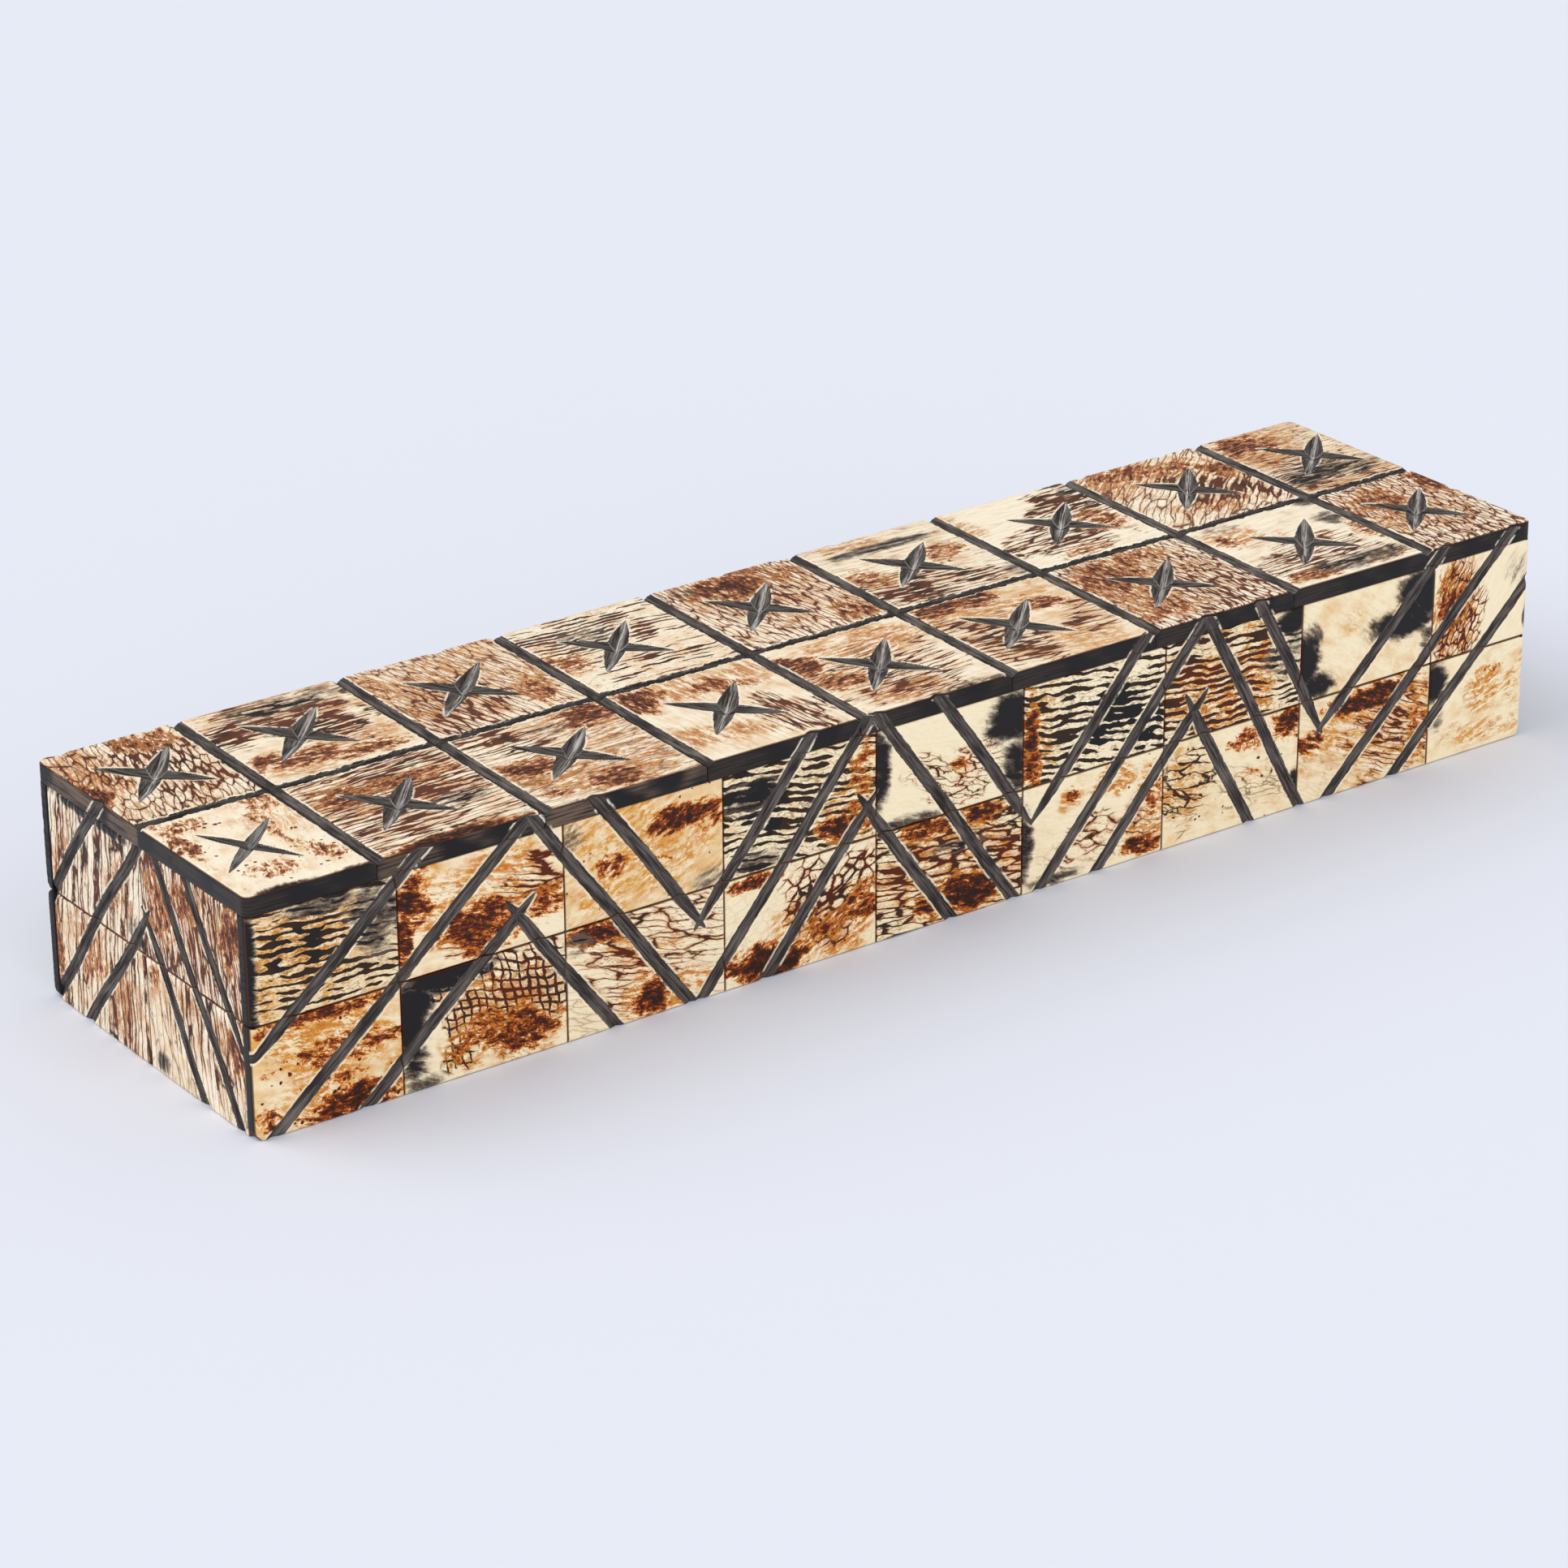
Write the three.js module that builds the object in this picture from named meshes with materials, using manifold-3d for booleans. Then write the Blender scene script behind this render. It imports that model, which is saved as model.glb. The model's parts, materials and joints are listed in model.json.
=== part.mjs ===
// A long, low box with a hinged lid: a wooden carcass in two halves, faced all over with carved bone tiles.
// Thick slabs cover the lid's top, thinner tiles cover the sides, and the seam runs round at mid height.
// Millimetres. The origin is the middle of the underside, +X runs along the box, +Y to the hinges, +Z up.
import * as THREE from "three";
import { mergeVertices } from "three/addons/utils/BufferGeometryUtils.js";
import Module from "manifold-3d";

const wasm = await Module();
wasm.setup();

// Driving sizes of the closed box.
const LENGTH = 305;
const WIDTH = 75;
const HEIGHT = 48;
const SEAM_HEIGHT = 22.55;
const SEAM_GAP = 0.3;

// Bone facing.
const SLAB_THICKNESS = 4;
const TILE_THICKNESS = 3;
const TILE_JOINT = 0.2;
const CORNER_BEVEL = 1.2;

// Wooden carcass.
const BOARD_THICKNESS = 5;
const GLUE_LINE = 0.1;

// Nine columns of slabs in two rows, with a V groove sawn over every joint.
const COLUMNS = 9;
const SLAB_PITCH = 35.6;
const COLUMN_LEAN = 2; // how far a column groove moves along X from the front edge to the back edge
const COLUMN_GROOVE = { width: 3, depth: 1.1 };
const CENTRE_GROOVE = { width: 1.8, depth: 0.8 };
const STAR = { reach: 12, halfWidth: 2.2, depth: 1.5 };
const STAR_SLANT = Math.PI / 4;

// Side tiles: nine on each long side, two on each end, lid and base alike.
const TILE_PITCH = 35.4;
const TILE_OFFSET = 2.2; // the long sides' joints stand a little off the column grooves

// Slanting V cuts on the sides run in threes: a full cut with a shorter companion above and below it.
// foot and head are where the full cut meets the underside and the top, along the face from its middle;
// above and below are how far along the face its companions lie.
const SIDE_CUT = { width: 2.6, depth: 0.9 };
const UPPER_CUT_STOPS = 14.5;
const LOWER_CUT_STOPS = 32.5;
const LONG_SIDE_CUTS = [
  { foot: -149, head: -93.5, above: 22, below: 19 },
  { foot: -58.5, head: -93.5, above: 14, below: 17 },
  { foot: -56.5, head: -16.5, above: 13.5, below: 14.5 },
  { foot: 18, head: -15.5, above: 14.5, below: 15.5 },
  { foot: 24, head: 66, above: 15, below: 14 },
  { foot: 91.5, head: 65.5, above: 13.5, below: 13.5 },
  { foot: 98.5, head: 148, above: 18.5, below: 17.5 },
];
const END_CUTS = [
  { foot: -36, head: 2.5, above: 16.5, below: 13 },
  { foot: 32.5, head: 2.5, above: 11.5, below: 12.5 },
];

// Two butt hinges let into the back edge. Their axis lies in the seam, just inside the back face,
// and the bevelled back edges of lid and base meet as the stop when the lid stands open.
const AXIS_INSET = 2.1;
const STOP_BEVEL = THREE.MathUtils.degToRad(48);
const HINGE_SPACING = 190;
const HINGE_LENGTH = 24;
const KNUCKLES = 3;
const KNUCKLE_GAP = 0.3;
const KNUCKLE_RADIUS = 1.8;
const BORE_RADIUS = 0.95;
const PIN_RADIUS = 0.85;
const PIN_SIDES = 16;
const LEAF_THICKNESS = 0.8;
const LEAF_WIDTH = 3;
const POCKET_CLEARANCE = 0.4;
const LEAF_CLEARANCE = 0.1;

// Levels and faces that follow from the sizes above.
const HALF_LENGTH = LENGTH / 2;
const HALF_WIDTH = WIDTH / 2;
const BASE_TOP = SEAM_HEIGHT - SEAM_GAP / 2;
const LID_BOTTOM = SEAM_HEIGHT + SEAM_GAP / 2;
const SLAB_BOTTOM = HEIGHT - SLAB_THICKNESS;
const FACING_TOP = SLAB_BOTTOM - GLUE_LINE;
const WOOD_HALF_LENGTH = HALF_LENGTH - TILE_THICKNESS - GLUE_LINE;
const WOOD_HALF_WIDTH = HALF_WIDTH - TILE_THICKNESS - GLUE_LINE;
const AXIS_Y = HALF_WIDTH - AXIS_INSET;
const END_HALF_SPAN = HALF_WIDTH - TILE_THICKNESS - TILE_JOINT;
const OVERRUN = 6; // how far a cutting solid runs past the piece it cuts
const MERGE_DISTANCE = 1e-4;

const finish = {
  slab: { color: 0xd9b98c, roughness: 0.42, metalness: 0 },
  tile: { color: 0xcfa877, roughness: 0.45, metalness: 0 },
  wood: { color: 0x6b3f24, roughness: 0.7, metalness: 0 },
  brass: { color: 0xb5904a, roughness: 0.35, metalness: 1 },
};

const box = new THREE.Group();

function solidOf(geometry) {
  geometry.deleteAttribute("normal");
  geometry.deleteAttribute("uv");
  const merged = mergeVertices(geometry, MERGE_DISTANCE);
  return new wasm.Manifold(
    new wasm.Mesh({
      numProp: 3,
      vertProperties: merged.attributes.position.array,
      triVerts: new Uint32Array(merged.index.array),
    }),
  );
}

function addPiece(name, solid, look) {
  const { numProp, vertProperties, triVerts } = solid.getMesh();
  const geometry = new THREE.BufferGeometry();
  geometry.setAttribute("position", new THREE.BufferAttribute(vertProperties, numProp));
  geometry.setIndex(new THREE.BufferAttribute(triVerts, 1));
  geometry.computeVertexNormals();
  const mesh = new THREE.Mesh(geometry, new THREE.MeshStandardMaterial(look));
  mesh.name = name;
  box.add(mesh);
}

// A block between two opposite corners.
function block(low, high) {
  const size = high.map((value, i) => value - low[i]);
  const middle = high.map((value, i) => (value + low[i]) / 2);
  return solidOf(new THREE.BoxGeometry(...size).translate(...middle));
}

// A block that is the same to the left and right of the middle.
function wideBlock(halfX, lowY, highY, lowZ, highZ) {
  return block([-halfX, lowY, lowZ], [halfX, highY, highZ]);
}

// A triangular or four-sided outline, extruded by a matrix that places it.
function prism(points, depth, placing) {
  const outline = new THREE.Shape(points.map(([x, y]) => new THREE.Vector2(x, y)));
  const geometry = new THREE.ExtrudeGeometry(outline, { depth, bevelEnabled: false });
  return solidOf(geometry.applyMatrix4(placing));
}

// The wedge that cuts a V groove from one point on a face to another.
function grooveCutter(from, to, outward, { width, depth }) {
  const along = to.clone().sub(from);
  const length = along.length();
  const forward = along.normalize();
  const sideways = new THREE.Vector3().crossVectors(outward, forward);
  const placing = new THREE.Matrix4().makeBasis(sideways, outward, forward).setPosition(from);
  const profile = [
    [0, -depth],
    [width, depth],
    [-width, depth],
  ];
  return prism(profile, length, placing);
}

// Where the joint after a column crosses the lid, at a distance y from the middle.
function columnJoint(column, y) {
  const fromMiddle = column - COLUMNS / 2;
  return fromMiddle * SLAB_PITCH + (COLUMN_LEAN * y) / WIDTH;
}

// One diagonal arm of a slab's star, pointed at both ends and deepest in the middle.
function starArm(centre, slant) {
  const arm = new THREE.OctahedronGeometry(1);
  arm.scale(STAR.reach, STAR.halfWidth, STAR.depth);
  arm.rotateZ(slant);
  arm.translate(centre.x, centre.y, HEIGHT);
  return solidOf(arm);
}

// Slanting cuts of one face, as cutters that stand in front of it and facing -Y.
function sideCutters(cuts, reach) {
  const outward = new THREE.Vector3(0, -1, 0);
  const onFace = (along, level) => new THREE.Vector3(along, -reach, level);
  const cutters = [];
  for (const { foot, head, above, below } of cuts) {
    const lean = (head - foot) / HEIGHT;
    const upward = Math.sign(lean);
    const stretches = [
      [0, -OVERRUN, HEIGHT + OVERRUN],
      [-upward * above, UPPER_CUT_STOPS, HEIGHT + OVERRUN],
      [upward * below, -OVERRUN, LOWER_CUT_STOPS],
    ];
    for (const [shift, low, high] of stretches) {
      const start = onFace(foot + shift + lean * low, low);
      const end = onFace(foot + shift + lean * high, high);
      cutters.push(grooveCutter(start, end, outward, SIDE_CUT));
    }
  }
  return cutters;
}

// The four faces. Each is laid out facing -Y and then turned about Z to where it belongs.
const FACES = {
  front: { turn: 0, reach: HALF_WIDTH, cuts: sideCutters(LONG_SIDE_CUTS, HALF_WIDTH) },
  right: { turn: 90, reach: HALF_LENGTH, cuts: sideCutters(END_CUTS, HALF_LENGTH) },
  back: { turn: 180, reach: HALF_WIDTH, cuts: sideCutters(LONG_SIDE_CUTS, HALF_WIDTH) },
  left: { turn: 270, reach: HALF_LENGTH, cuts: sideCutters(END_CUTS, HALF_LENGTH) },
};

function cutAll(solid, cutters) {
  return cutters.reduce((rest, cutter) => rest.subtract(cutter), solid);
}

// The upright corner edges of the long sides are bevelled.
const cornerCutters = [];
for (const x of [-HALF_LENGTH, HALF_LENGTH]) {
  for (const y of [-HALF_WIDTH, HALF_WIDTH]) {
    const side = CORNER_BEVEL * Math.SQRT2;
    const edge = new THREE.BoxGeometry(side, side, 2 * FACING_TOP);
    cornerCutters.push(solidOf(edge.rotateZ(Math.PI / 4).translate(x, y, 0)));
  }
}

// The bevel along the back of the seam, cut upward into the lid (+1) or downward into the base (-1).
function stopBevel(direction) {
  const level = SEAM_HEIGHT + (direction * SEAM_GAP) / 2;
  const rise = OVERRUN * Math.tan(STOP_BEVEL);
  const corners = [
    [AXIS_Y - OVERRUN, level - direction * rise],
    [AXIS_Y + OVERRUN, level - direction * rise],
    [AXIS_Y + OVERRUN, level + direction * rise],
  ];
  const placing = new THREE.Matrix4().makeBasis(
    new THREE.Vector3(0, 1, 0),
    new THREE.Vector3(0, 0, 1),
    new THREE.Vector3(1, 0, 0),
  );
  return prism(corners, LENGTH + 2 * OVERRUN, placing.setPosition(-HALF_LENGTH - OVERRUN, 0, 0));
}

// Room in wood and bone for one hinge's knuckles and leaves.
function hingePocket(x) {
  const halfLength = HINGE_LENGTH / 2 + POCKET_CLEARANCE;
  const knuckleRoom = KNUCKLE_RADIUS + POCKET_CLEARANCE;
  const leafRoom = LEAF_THICKNESS + SEAM_GAP / 2 + LEAF_CLEARANCE;
  const leafStart = AXIS_Y - KNUCKLE_RADIUS - KNUCKLE_GAP - LEAF_WIDTH - LEAF_CLEARANCE;
  const knuckles = block(
    [x - halfLength, AXIS_Y - knuckleRoom, SEAM_HEIGHT - knuckleRoom],
    [x + halfLength, HALF_WIDTH + OVERRUN, SEAM_HEIGHT + knuckleRoom],
  );
  const leaves = block(
    [x - halfLength, leafStart, SEAM_HEIGHT - leafRoom],
    [x + halfLength, AXIS_Y, SEAM_HEIGHT + leafRoom],
  );
  return knuckles.add(leaves);
}

const hingePlaces = [-HINGE_SPACING / 2, HINGE_SPACING / 2];
const pockets = hingePlaces.map(hingePocket);

// Carcass: base and lid are each four boards and a panel.
function addCarcass(half, low, high, panelLow, panelHigh) {
  const innerLength = WOOD_HALF_LENGTH - BOARD_THICKNESS;
  const innerWidth = WOOD_HALF_WIDTH - BOARD_THICKNESS;
  const endWidth = innerWidth - GLUE_LINE;
  const panel = wideBlock(WOOD_HALF_LENGTH, -WOOD_HALF_WIDTH, WOOD_HALF_WIDTH, panelLow, panelHigh);
  const front = wideBlock(WOOD_HALF_LENGTH, -WOOD_HALF_WIDTH, -innerWidth, low, high);
  const back = wideBlock(WOOD_HALF_LENGTH, innerWidth, WOOD_HALF_WIDTH, low, high);
  const left = block([-WOOD_HALF_LENGTH, -endWidth, low], [-innerLength, endWidth, high]);
  const right = block([innerLength, -endWidth, low], [WOOD_HALF_LENGTH, endWidth, high]);
  addPiece(`${half}_panel`, panel, finish.wood);
  addPiece(`${half}_front_board`, front, finish.wood);
  addPiece(`${half}_back_board`, cutAll(back, pockets), finish.wood);
  addPiece(`${half}_left_board`, left, finish.wood);
  addPiece(`${half}_right_board`, right, finish.wood);
}

// Slabs on the lid: each is outlined by its leaning joints and cut by the grooves that cross it.
function addSlab(column, row) {
  const up = new THREE.Vector3(0, 0, 1);
  const nearY = row === "front" ? -HALF_WIDTH : TILE_JOINT / 2;
  const farY = row === "front" ? -TILE_JOINT / 2 : HALF_WIDTH;
  const isFirst = column === 0;
  const isLast = column === COLUMNS - 1;
  const leftAt = (y) => (isFirst ? -HALF_LENGTH : columnJoint(column, y) + TILE_JOINT / 2);
  const rightAt = (y) => (isLast ? HALF_LENGTH : columnJoint(column + 1, y) - TILE_JOINT / 2);
  const outline = [
    [leftAt(nearY), nearY],
    [rightAt(nearY), nearY],
    [rightAt(farY), farY],
    [leftAt(farY), farY],
  ];
  const lift = new THREE.Matrix4().makeTranslation(0, 0, SLAB_BOTTOM);
  let slab = prism(outline, SLAB_THICKNESS, lift);

  const grooveAcross = (joint) => {
    const reach = HALF_WIDTH + OVERRUN;
    const near = new THREE.Vector3(columnJoint(joint, -reach), -reach, HEIGHT);
    const far = new THREE.Vector3(columnJoint(joint, reach), reach, HEIGHT);
    return grooveCutter(near, far, up, COLUMN_GROOVE);
  };
  if (!isFirst) slab = slab.subtract(grooveAcross(column));
  if (!isLast) slab = slab.subtract(grooveAcross(column + 1));
  const leftEnd = new THREE.Vector3(-HALF_LENGTH - OVERRUN, 0, HEIGHT);
  const rightEnd = new THREE.Vector3(HALF_LENGTH + OVERRUN, 0, HEIGHT);
  slab = slab.subtract(grooveCutter(leftEnd, rightEnd, up, CENTRE_GROOVE));

  const middleY = (nearY + farY) / 2;
  const centre = new THREE.Vector2((leftAt(middleY) + rightAt(middleY)) / 2, middleY);
  slab = slab.subtract(starArm(centre, STAR_SLANT));
  slab = slab.subtract(starArm(centre, -STAR_SLANT));
  if (row === "front") slab = cutAll(slab, FACES.front.cuts);
  addPiece(`top_slab_${row}_${column + 1}`, slab, finish.slab);
}

// A side tile or a strip of them, laid out facing -Y, with any joints cut as hairline grooves.
function sidePiece(face, from, to, low, high) {
  const { turn, reach, cuts } = FACES[face];
  const blank = block([from, -reach, low], [to, -reach + TILE_THICKNESS, high]);
  return cutAll(blank, cuts).rotate([0, 0, turn]);
}

function longSideJoint(column) {
  return (column - COLUMNS / 2) * TILE_PITCH + TILE_OFFSET;
}

function addLongSideTiles(half, low, high) {
  for (let column = 0; column < COLUMNS; column += 1) {
    const isFirst = column === 0;
    const isLast = column === COLUMNS - 1;
    const from = isFirst ? -HALF_LENGTH : longSideJoint(column) + TILE_JOINT / 2;
    const to = isLast ? HALF_LENGTH : longSideJoint(column + 1) - TILE_JOINT / 2;
    const tile = sidePiece("front", from, to, low, high);
    addPiece(`front_${half}_tile_${column + 1}`, cutAll(tile, cornerCutters), finish.tile);
  }
}

function addBackStrip(half, low, high, bevelDirection) {
  const strip = sidePiece("back", -HALF_LENGTH, HALF_LENGTH, low, high);
  const fitted = cutAll(strip, [...cornerCutters, stopBevel(bevelDirection), ...pockets]);
  addPiece(`back_${half}_tiles`, fitted, finish.tile);
}

function addEndTiles(half, low, high) {
  const rightStrip = sidePiece("right", -END_HALF_SPAN, END_HALF_SPAN, low, high);
  addPiece(`right_${half}_tiles`, rightStrip, finish.tile);
  const backTile = sidePiece("left", -END_HALF_SPAN, -TILE_JOINT / 2, low, high);
  addPiece(`left_${half}_tile_back`, backTile, finish.tile);
  const frontTile = sidePiece("left", TILE_JOINT / 2, END_HALF_SPAN, low, high);
  addPiece(`left_${half}_tile_front`, frontTile, finish.tile);
}

// A cylinder along X.
function rod(radius, length, x) {
  const cylinder = new THREE.CylinderGeometry(radius, radius, length, PIN_SIDES);
  return solidOf(cylinder.rotateZ(Math.PI / 2).translate(x, AXIS_Y, SEAM_HEIGHT));
}

// One leaf with its share of the knuckles: even ones on the base leaf, odd ones on the lid leaf.
function hingeLeaf(x, direction, firstKnuckle) {
  const nearLevel = SEAM_HEIGHT + (direction * SEAM_GAP) / 2;
  const farLevel = nearLevel + direction * LEAF_THICKNESS;
  const low = Math.min(nearLevel, farLevel);
  const high = Math.max(nearLevel, farLevel);
  const plateEdge = AXIS_Y - KNUCKLE_RADIUS - KNUCKLE_GAP;
  const plateStart = plateEdge - LEAF_WIDTH;
  let leaf = block(
    [x - HINGE_LENGTH / 2, plateStart, low],
    [x + HINGE_LENGTH / 2, plateEdge, high],
  );
  const knuckleLength = (HINGE_LENGTH - (KNUCKLES - 1) * KNUCKLE_GAP) / KNUCKLES;
  for (let knuckle = firstKnuckle; knuckle < KNUCKLES; knuckle += 2) {
    const start = x - HINGE_LENGTH / 2 + knuckle * (knuckleLength + KNUCKLE_GAP);
    const web = block([start, plateStart, low], [start + knuckleLength, AXIS_Y, high]);
    leaf = leaf.add(web).add(rod(KNUCKLE_RADIUS, knuckleLength, start + knuckleLength / 2));
  }
  return leaf.subtract(rod(BORE_RADIUS, HINGE_LENGTH + OVERRUN, x));
}

function addHinge(side, x) {
  addPiece(`${side}_hinge_base_leaf`, hingeLeaf(x, -1, 0), finish.brass);
  addPiece(`${side}_hinge_lid_leaf`, hingeLeaf(x, 1, 1), finish.brass);
  addPiece(`${side}_hinge_pin`, rod(PIN_RADIUS, HINGE_LENGTH, x), finish.brass);
}

const basePanelTop = BOARD_THICKNESS;
const lidPanelBottom = FACING_TOP - BOARD_THICKNESS;
addCarcass("base", basePanelTop + GLUE_LINE, BASE_TOP, 0, basePanelTop);
addCarcass("lid", LID_BOTTOM, lidPanelBottom - GLUE_LINE, lidPanelBottom, FACING_TOP);
for (const row of ["front", "back"]) {
  for (let column = 0; column < COLUMNS; column += 1) {
    addSlab(column, row);
  }
}
addLongSideTiles("base", 0, BASE_TOP);
addLongSideTiles("lid", LID_BOTTOM, FACING_TOP);
addEndTiles("base", 0, BASE_TOP);
addEndTiles("lid", LID_BOTTOM, FACING_TOP);
addBackStrip("base", 0, BASE_TOP, -1);
addBackStrip("lid", LID_BOTTOM, FACING_TOP, 1);
addHinge("left", hingePlaces[0]);
addHinge("right", hingePlaces[1]);

export default box;
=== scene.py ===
"""Looks for the bone-faced wooden box: carved tiles, wooden boards, brass hinges, light and camera."""

import json
import math

import bmesh
import bpy
import numpy as np
from mathutils import Matrix, Vector


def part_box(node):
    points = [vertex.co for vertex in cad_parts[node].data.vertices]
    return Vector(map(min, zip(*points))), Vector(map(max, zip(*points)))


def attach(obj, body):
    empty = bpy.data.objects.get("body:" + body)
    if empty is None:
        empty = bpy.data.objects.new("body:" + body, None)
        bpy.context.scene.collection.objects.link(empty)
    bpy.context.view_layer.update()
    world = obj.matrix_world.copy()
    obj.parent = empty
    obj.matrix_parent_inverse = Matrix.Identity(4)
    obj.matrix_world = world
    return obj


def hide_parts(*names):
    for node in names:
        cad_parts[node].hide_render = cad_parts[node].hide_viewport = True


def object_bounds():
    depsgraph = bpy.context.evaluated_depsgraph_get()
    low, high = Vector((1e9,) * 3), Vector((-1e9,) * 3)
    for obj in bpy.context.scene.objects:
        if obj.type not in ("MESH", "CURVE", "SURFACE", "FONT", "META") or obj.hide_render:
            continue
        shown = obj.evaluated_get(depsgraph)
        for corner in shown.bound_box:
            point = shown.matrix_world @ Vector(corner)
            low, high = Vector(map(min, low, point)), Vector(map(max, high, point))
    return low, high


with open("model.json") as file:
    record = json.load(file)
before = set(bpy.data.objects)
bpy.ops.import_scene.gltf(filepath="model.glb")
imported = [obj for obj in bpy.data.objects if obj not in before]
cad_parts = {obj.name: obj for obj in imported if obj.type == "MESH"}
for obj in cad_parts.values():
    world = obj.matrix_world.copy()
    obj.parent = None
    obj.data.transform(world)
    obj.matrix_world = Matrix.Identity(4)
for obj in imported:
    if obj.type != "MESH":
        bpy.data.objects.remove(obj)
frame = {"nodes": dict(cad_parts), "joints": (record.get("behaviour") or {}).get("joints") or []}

cad_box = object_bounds()

# ---------------------------------------------------------------- sizes, in millimetres
MM = 0.001
LENGTH = (cad_box[1].x - cad_box[0].x) / MM
WIDTH = (cad_box[1].y - cad_box[0].y) / MM
HEIGHT = (cad_box[1].z - cad_box[0].z) / MM


def node_box(name):
    """Lowest and highest corner of a CAD node, in millimetres."""
    low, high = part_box(name)
    return np.array(low) / MM, np.array(high) / MM


SLAB_BOTTOM = node_box("top_slab_front_1")[0][2]
FACING_TOP = node_box("front_lid_tile_1")[1][2]
LID_BOTTOM = node_box("front_lid_tile_1")[0][2]
BASE_TOP = node_box("front_base_tile_1")[1][2]
TILE_THICKNESS = node_box("front_base_tile_1")[1][1] - node_box("front_base_tile_1")[0][1]
END_HALF_SPAN = node_box("right_lid_tiles")[1][1]
HINGE_AXIS = np.array(frame["joints"][0]["pos_m"]) / MM
AXIS_INSET = WIDTH / 2 - HINGE_AXIS[1]
PIN_LOW, PIN_HIGH = node_box("right_hinge_pin")
HINGE_PLACE = (PIN_LOW[0] + PIN_HIGH[0]) / 2
HINGE_LENGTH = PIN_HIGH[0] - PIN_LOW[0]
LEAF_FRONT = node_box("right_hinge_base_leaf")[0][1]

# The CAD's layout of joints and cuts, which its boxes don't give.
COLUMNS = 9
SLAB_PITCH = 35.6
COLUMN_LEAN = 2.0
TILE_PITCH = 35.4
TILE_OFFSET = 2.2
TILE_JOINT = 0.2
UPPER_CUT_STOPS = 14.5
LOWER_CUT_STOPS = 32.5
STOP_SLOPE = math.tan(math.radians(48))  # of the bevels that meet as the lid's stop
POCKET_HALF_LENGTH = HINGE_LENGTH / 2 + 0.4
POCKET_HALF_HEIGHT = 2.25
# foot, head, above, below of each full slanting cut, along the face from its middle
LONG_SIDE_CUTS = [
    (-149, -93.5, 22, 19),
    (-58.5, -93.5, 14, 17),
    (-56.5, -16.5, 13.5, 14.5),
    (18, -15.5, 14.5, 15.5),
    (24, 66, 15, 14),
    (91.5, 65.5, 13.5, 13.5),
    (98.5, 148, 18.5, 17.5),
]
END_CUTS = [(-36, 2.5, 16.5, 13), (32.5, 2.5, 11.5, 12.5)]
LAST_LEG = len(LONG_SIDE_CUTS) - 1  # its lower cut runs off over the corner
RUN_OFF = 9.0

# Cuts of the finer model, all a little inside the CAD's.
SIDE_CUT = dict(half=1.35, depth=0.85, ragged=0.07)
COLUMN_CUT = dict(half=1.45, depth=1.05, ragged=0.09)
CENTRE_CUT = dict(half=1.15, depth=0.85, ragged=0.3)
STAR_CUT = dict(half=2.15, depth=1.45, ragged=0.05)
STAR_REACH = (13.2, 12.2)
SLIM_STAR_HALF = 1.4
STAR_ANGLES = (46, 130)
SLIM_STAR_ANGLES = (40, 117)
SLIM_STAR_DEPTH = 1.0
# Painted light and shade of each star arm, as light falls on it: above 0 the breadth of a painted highlight
# along its valley, below 0 how dark it is painted, for shade and dirt.
STAR_SHINE = (2.0, -0.85)
SLIM_STAR_SHINE = (-0.5, -0.9)
TIP_TAPER = 9.0
OVERRUN = 6.0
FAR = 99.0  # stands for well outside every cut
# Marks points with no painted light or shade from a cut.
NO_RIDGE = 9.0

GRID = 0.3
WALL_LEVELS = 5
BAND_LEVELS = 12  # the walls of the dyed band, which the side cuts notch
NOTCH_FADE = 2.0
NOTCH_SHOWS = 0.6
EDGE_ROUND = 0.45
JOINT_ROUND = 0.22
CORNER_ROUND = 1.2
WAVER = 0.03  # of the bone's hand-worked surface

# Hinges. Levels are distances from the axis, up in the lid and down in the base.
KNUCKLES = 3
KNUCKLE_GAP = 0.3
KNUCKLE_RADIUS = 1.75
BORE_RADIUS = 0.9
PIN_RADIUS = 0.8
LEAF_LEVELS = (0.17, 0.93)
LEAF_WIDTH = 3.0
WEB_REACH = 1.3
SCREW_LEVELS = (0.05, 0.5)
SCREW_RADIUS = 0.8
SCREW_SLOT_HALF = 0.13
SCREW_SPREAD = 7.5
ROUND_SIDES = 48


# ---------------------------------------------------------------- smooth noise, always the same for a seed
def wobble(x, seed, wave):
    """A smooth wavering between about -1 and 1 along x."""
    total = np.zeros_like(x, dtype=float)
    for k, share in ((1.0, 0.5), (2.3, 0.3), (4.9, 0.2)):
        total += share * np.sin(2 * math.pi * k * x / wave + seed * (1.7 + k))
    return total


def cloud(x, y, seed, wave, octaves=3):
    """Fractal value noise in the plane, between about -1 and 1."""
    total, amount = np.zeros_like(x, dtype=float), 0.6
    for octave in range(octaves):
        lattice = np.random.RandomState(seed * 31 + octave).uniform(-1, 1, (64, 64))
        gx, gy = x / wave + 100.0, y / wave + 100.0
        ix, iy = np.floor(gx).astype(int), np.floor(gy).astype(int)
        fx, fy = gx - ix, gy - iy
        fx, fy = fx * fx * (3 - 2 * fx), fy * fy * (3 - 2 * fy)
        a = lattice[ix % 64, iy % 64] * (1 - fx) + lattice[(ix + 1) % 64, iy % 64] * fx
        b = lattice[ix % 64, (iy + 1) % 64] * (1 - fx) + lattice[(ix + 1) % 64, (iy + 1) % 64] * fx
        total += amount * (a * (1 - fy) + b * fy)
        amount *= 0.55
        wave *= 0.47
    return total


def smooth(x, low, high):
    t = np.clip((x - low) / (high - low), 0, 1)
    return t * t * (3 - 2 * t)


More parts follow.
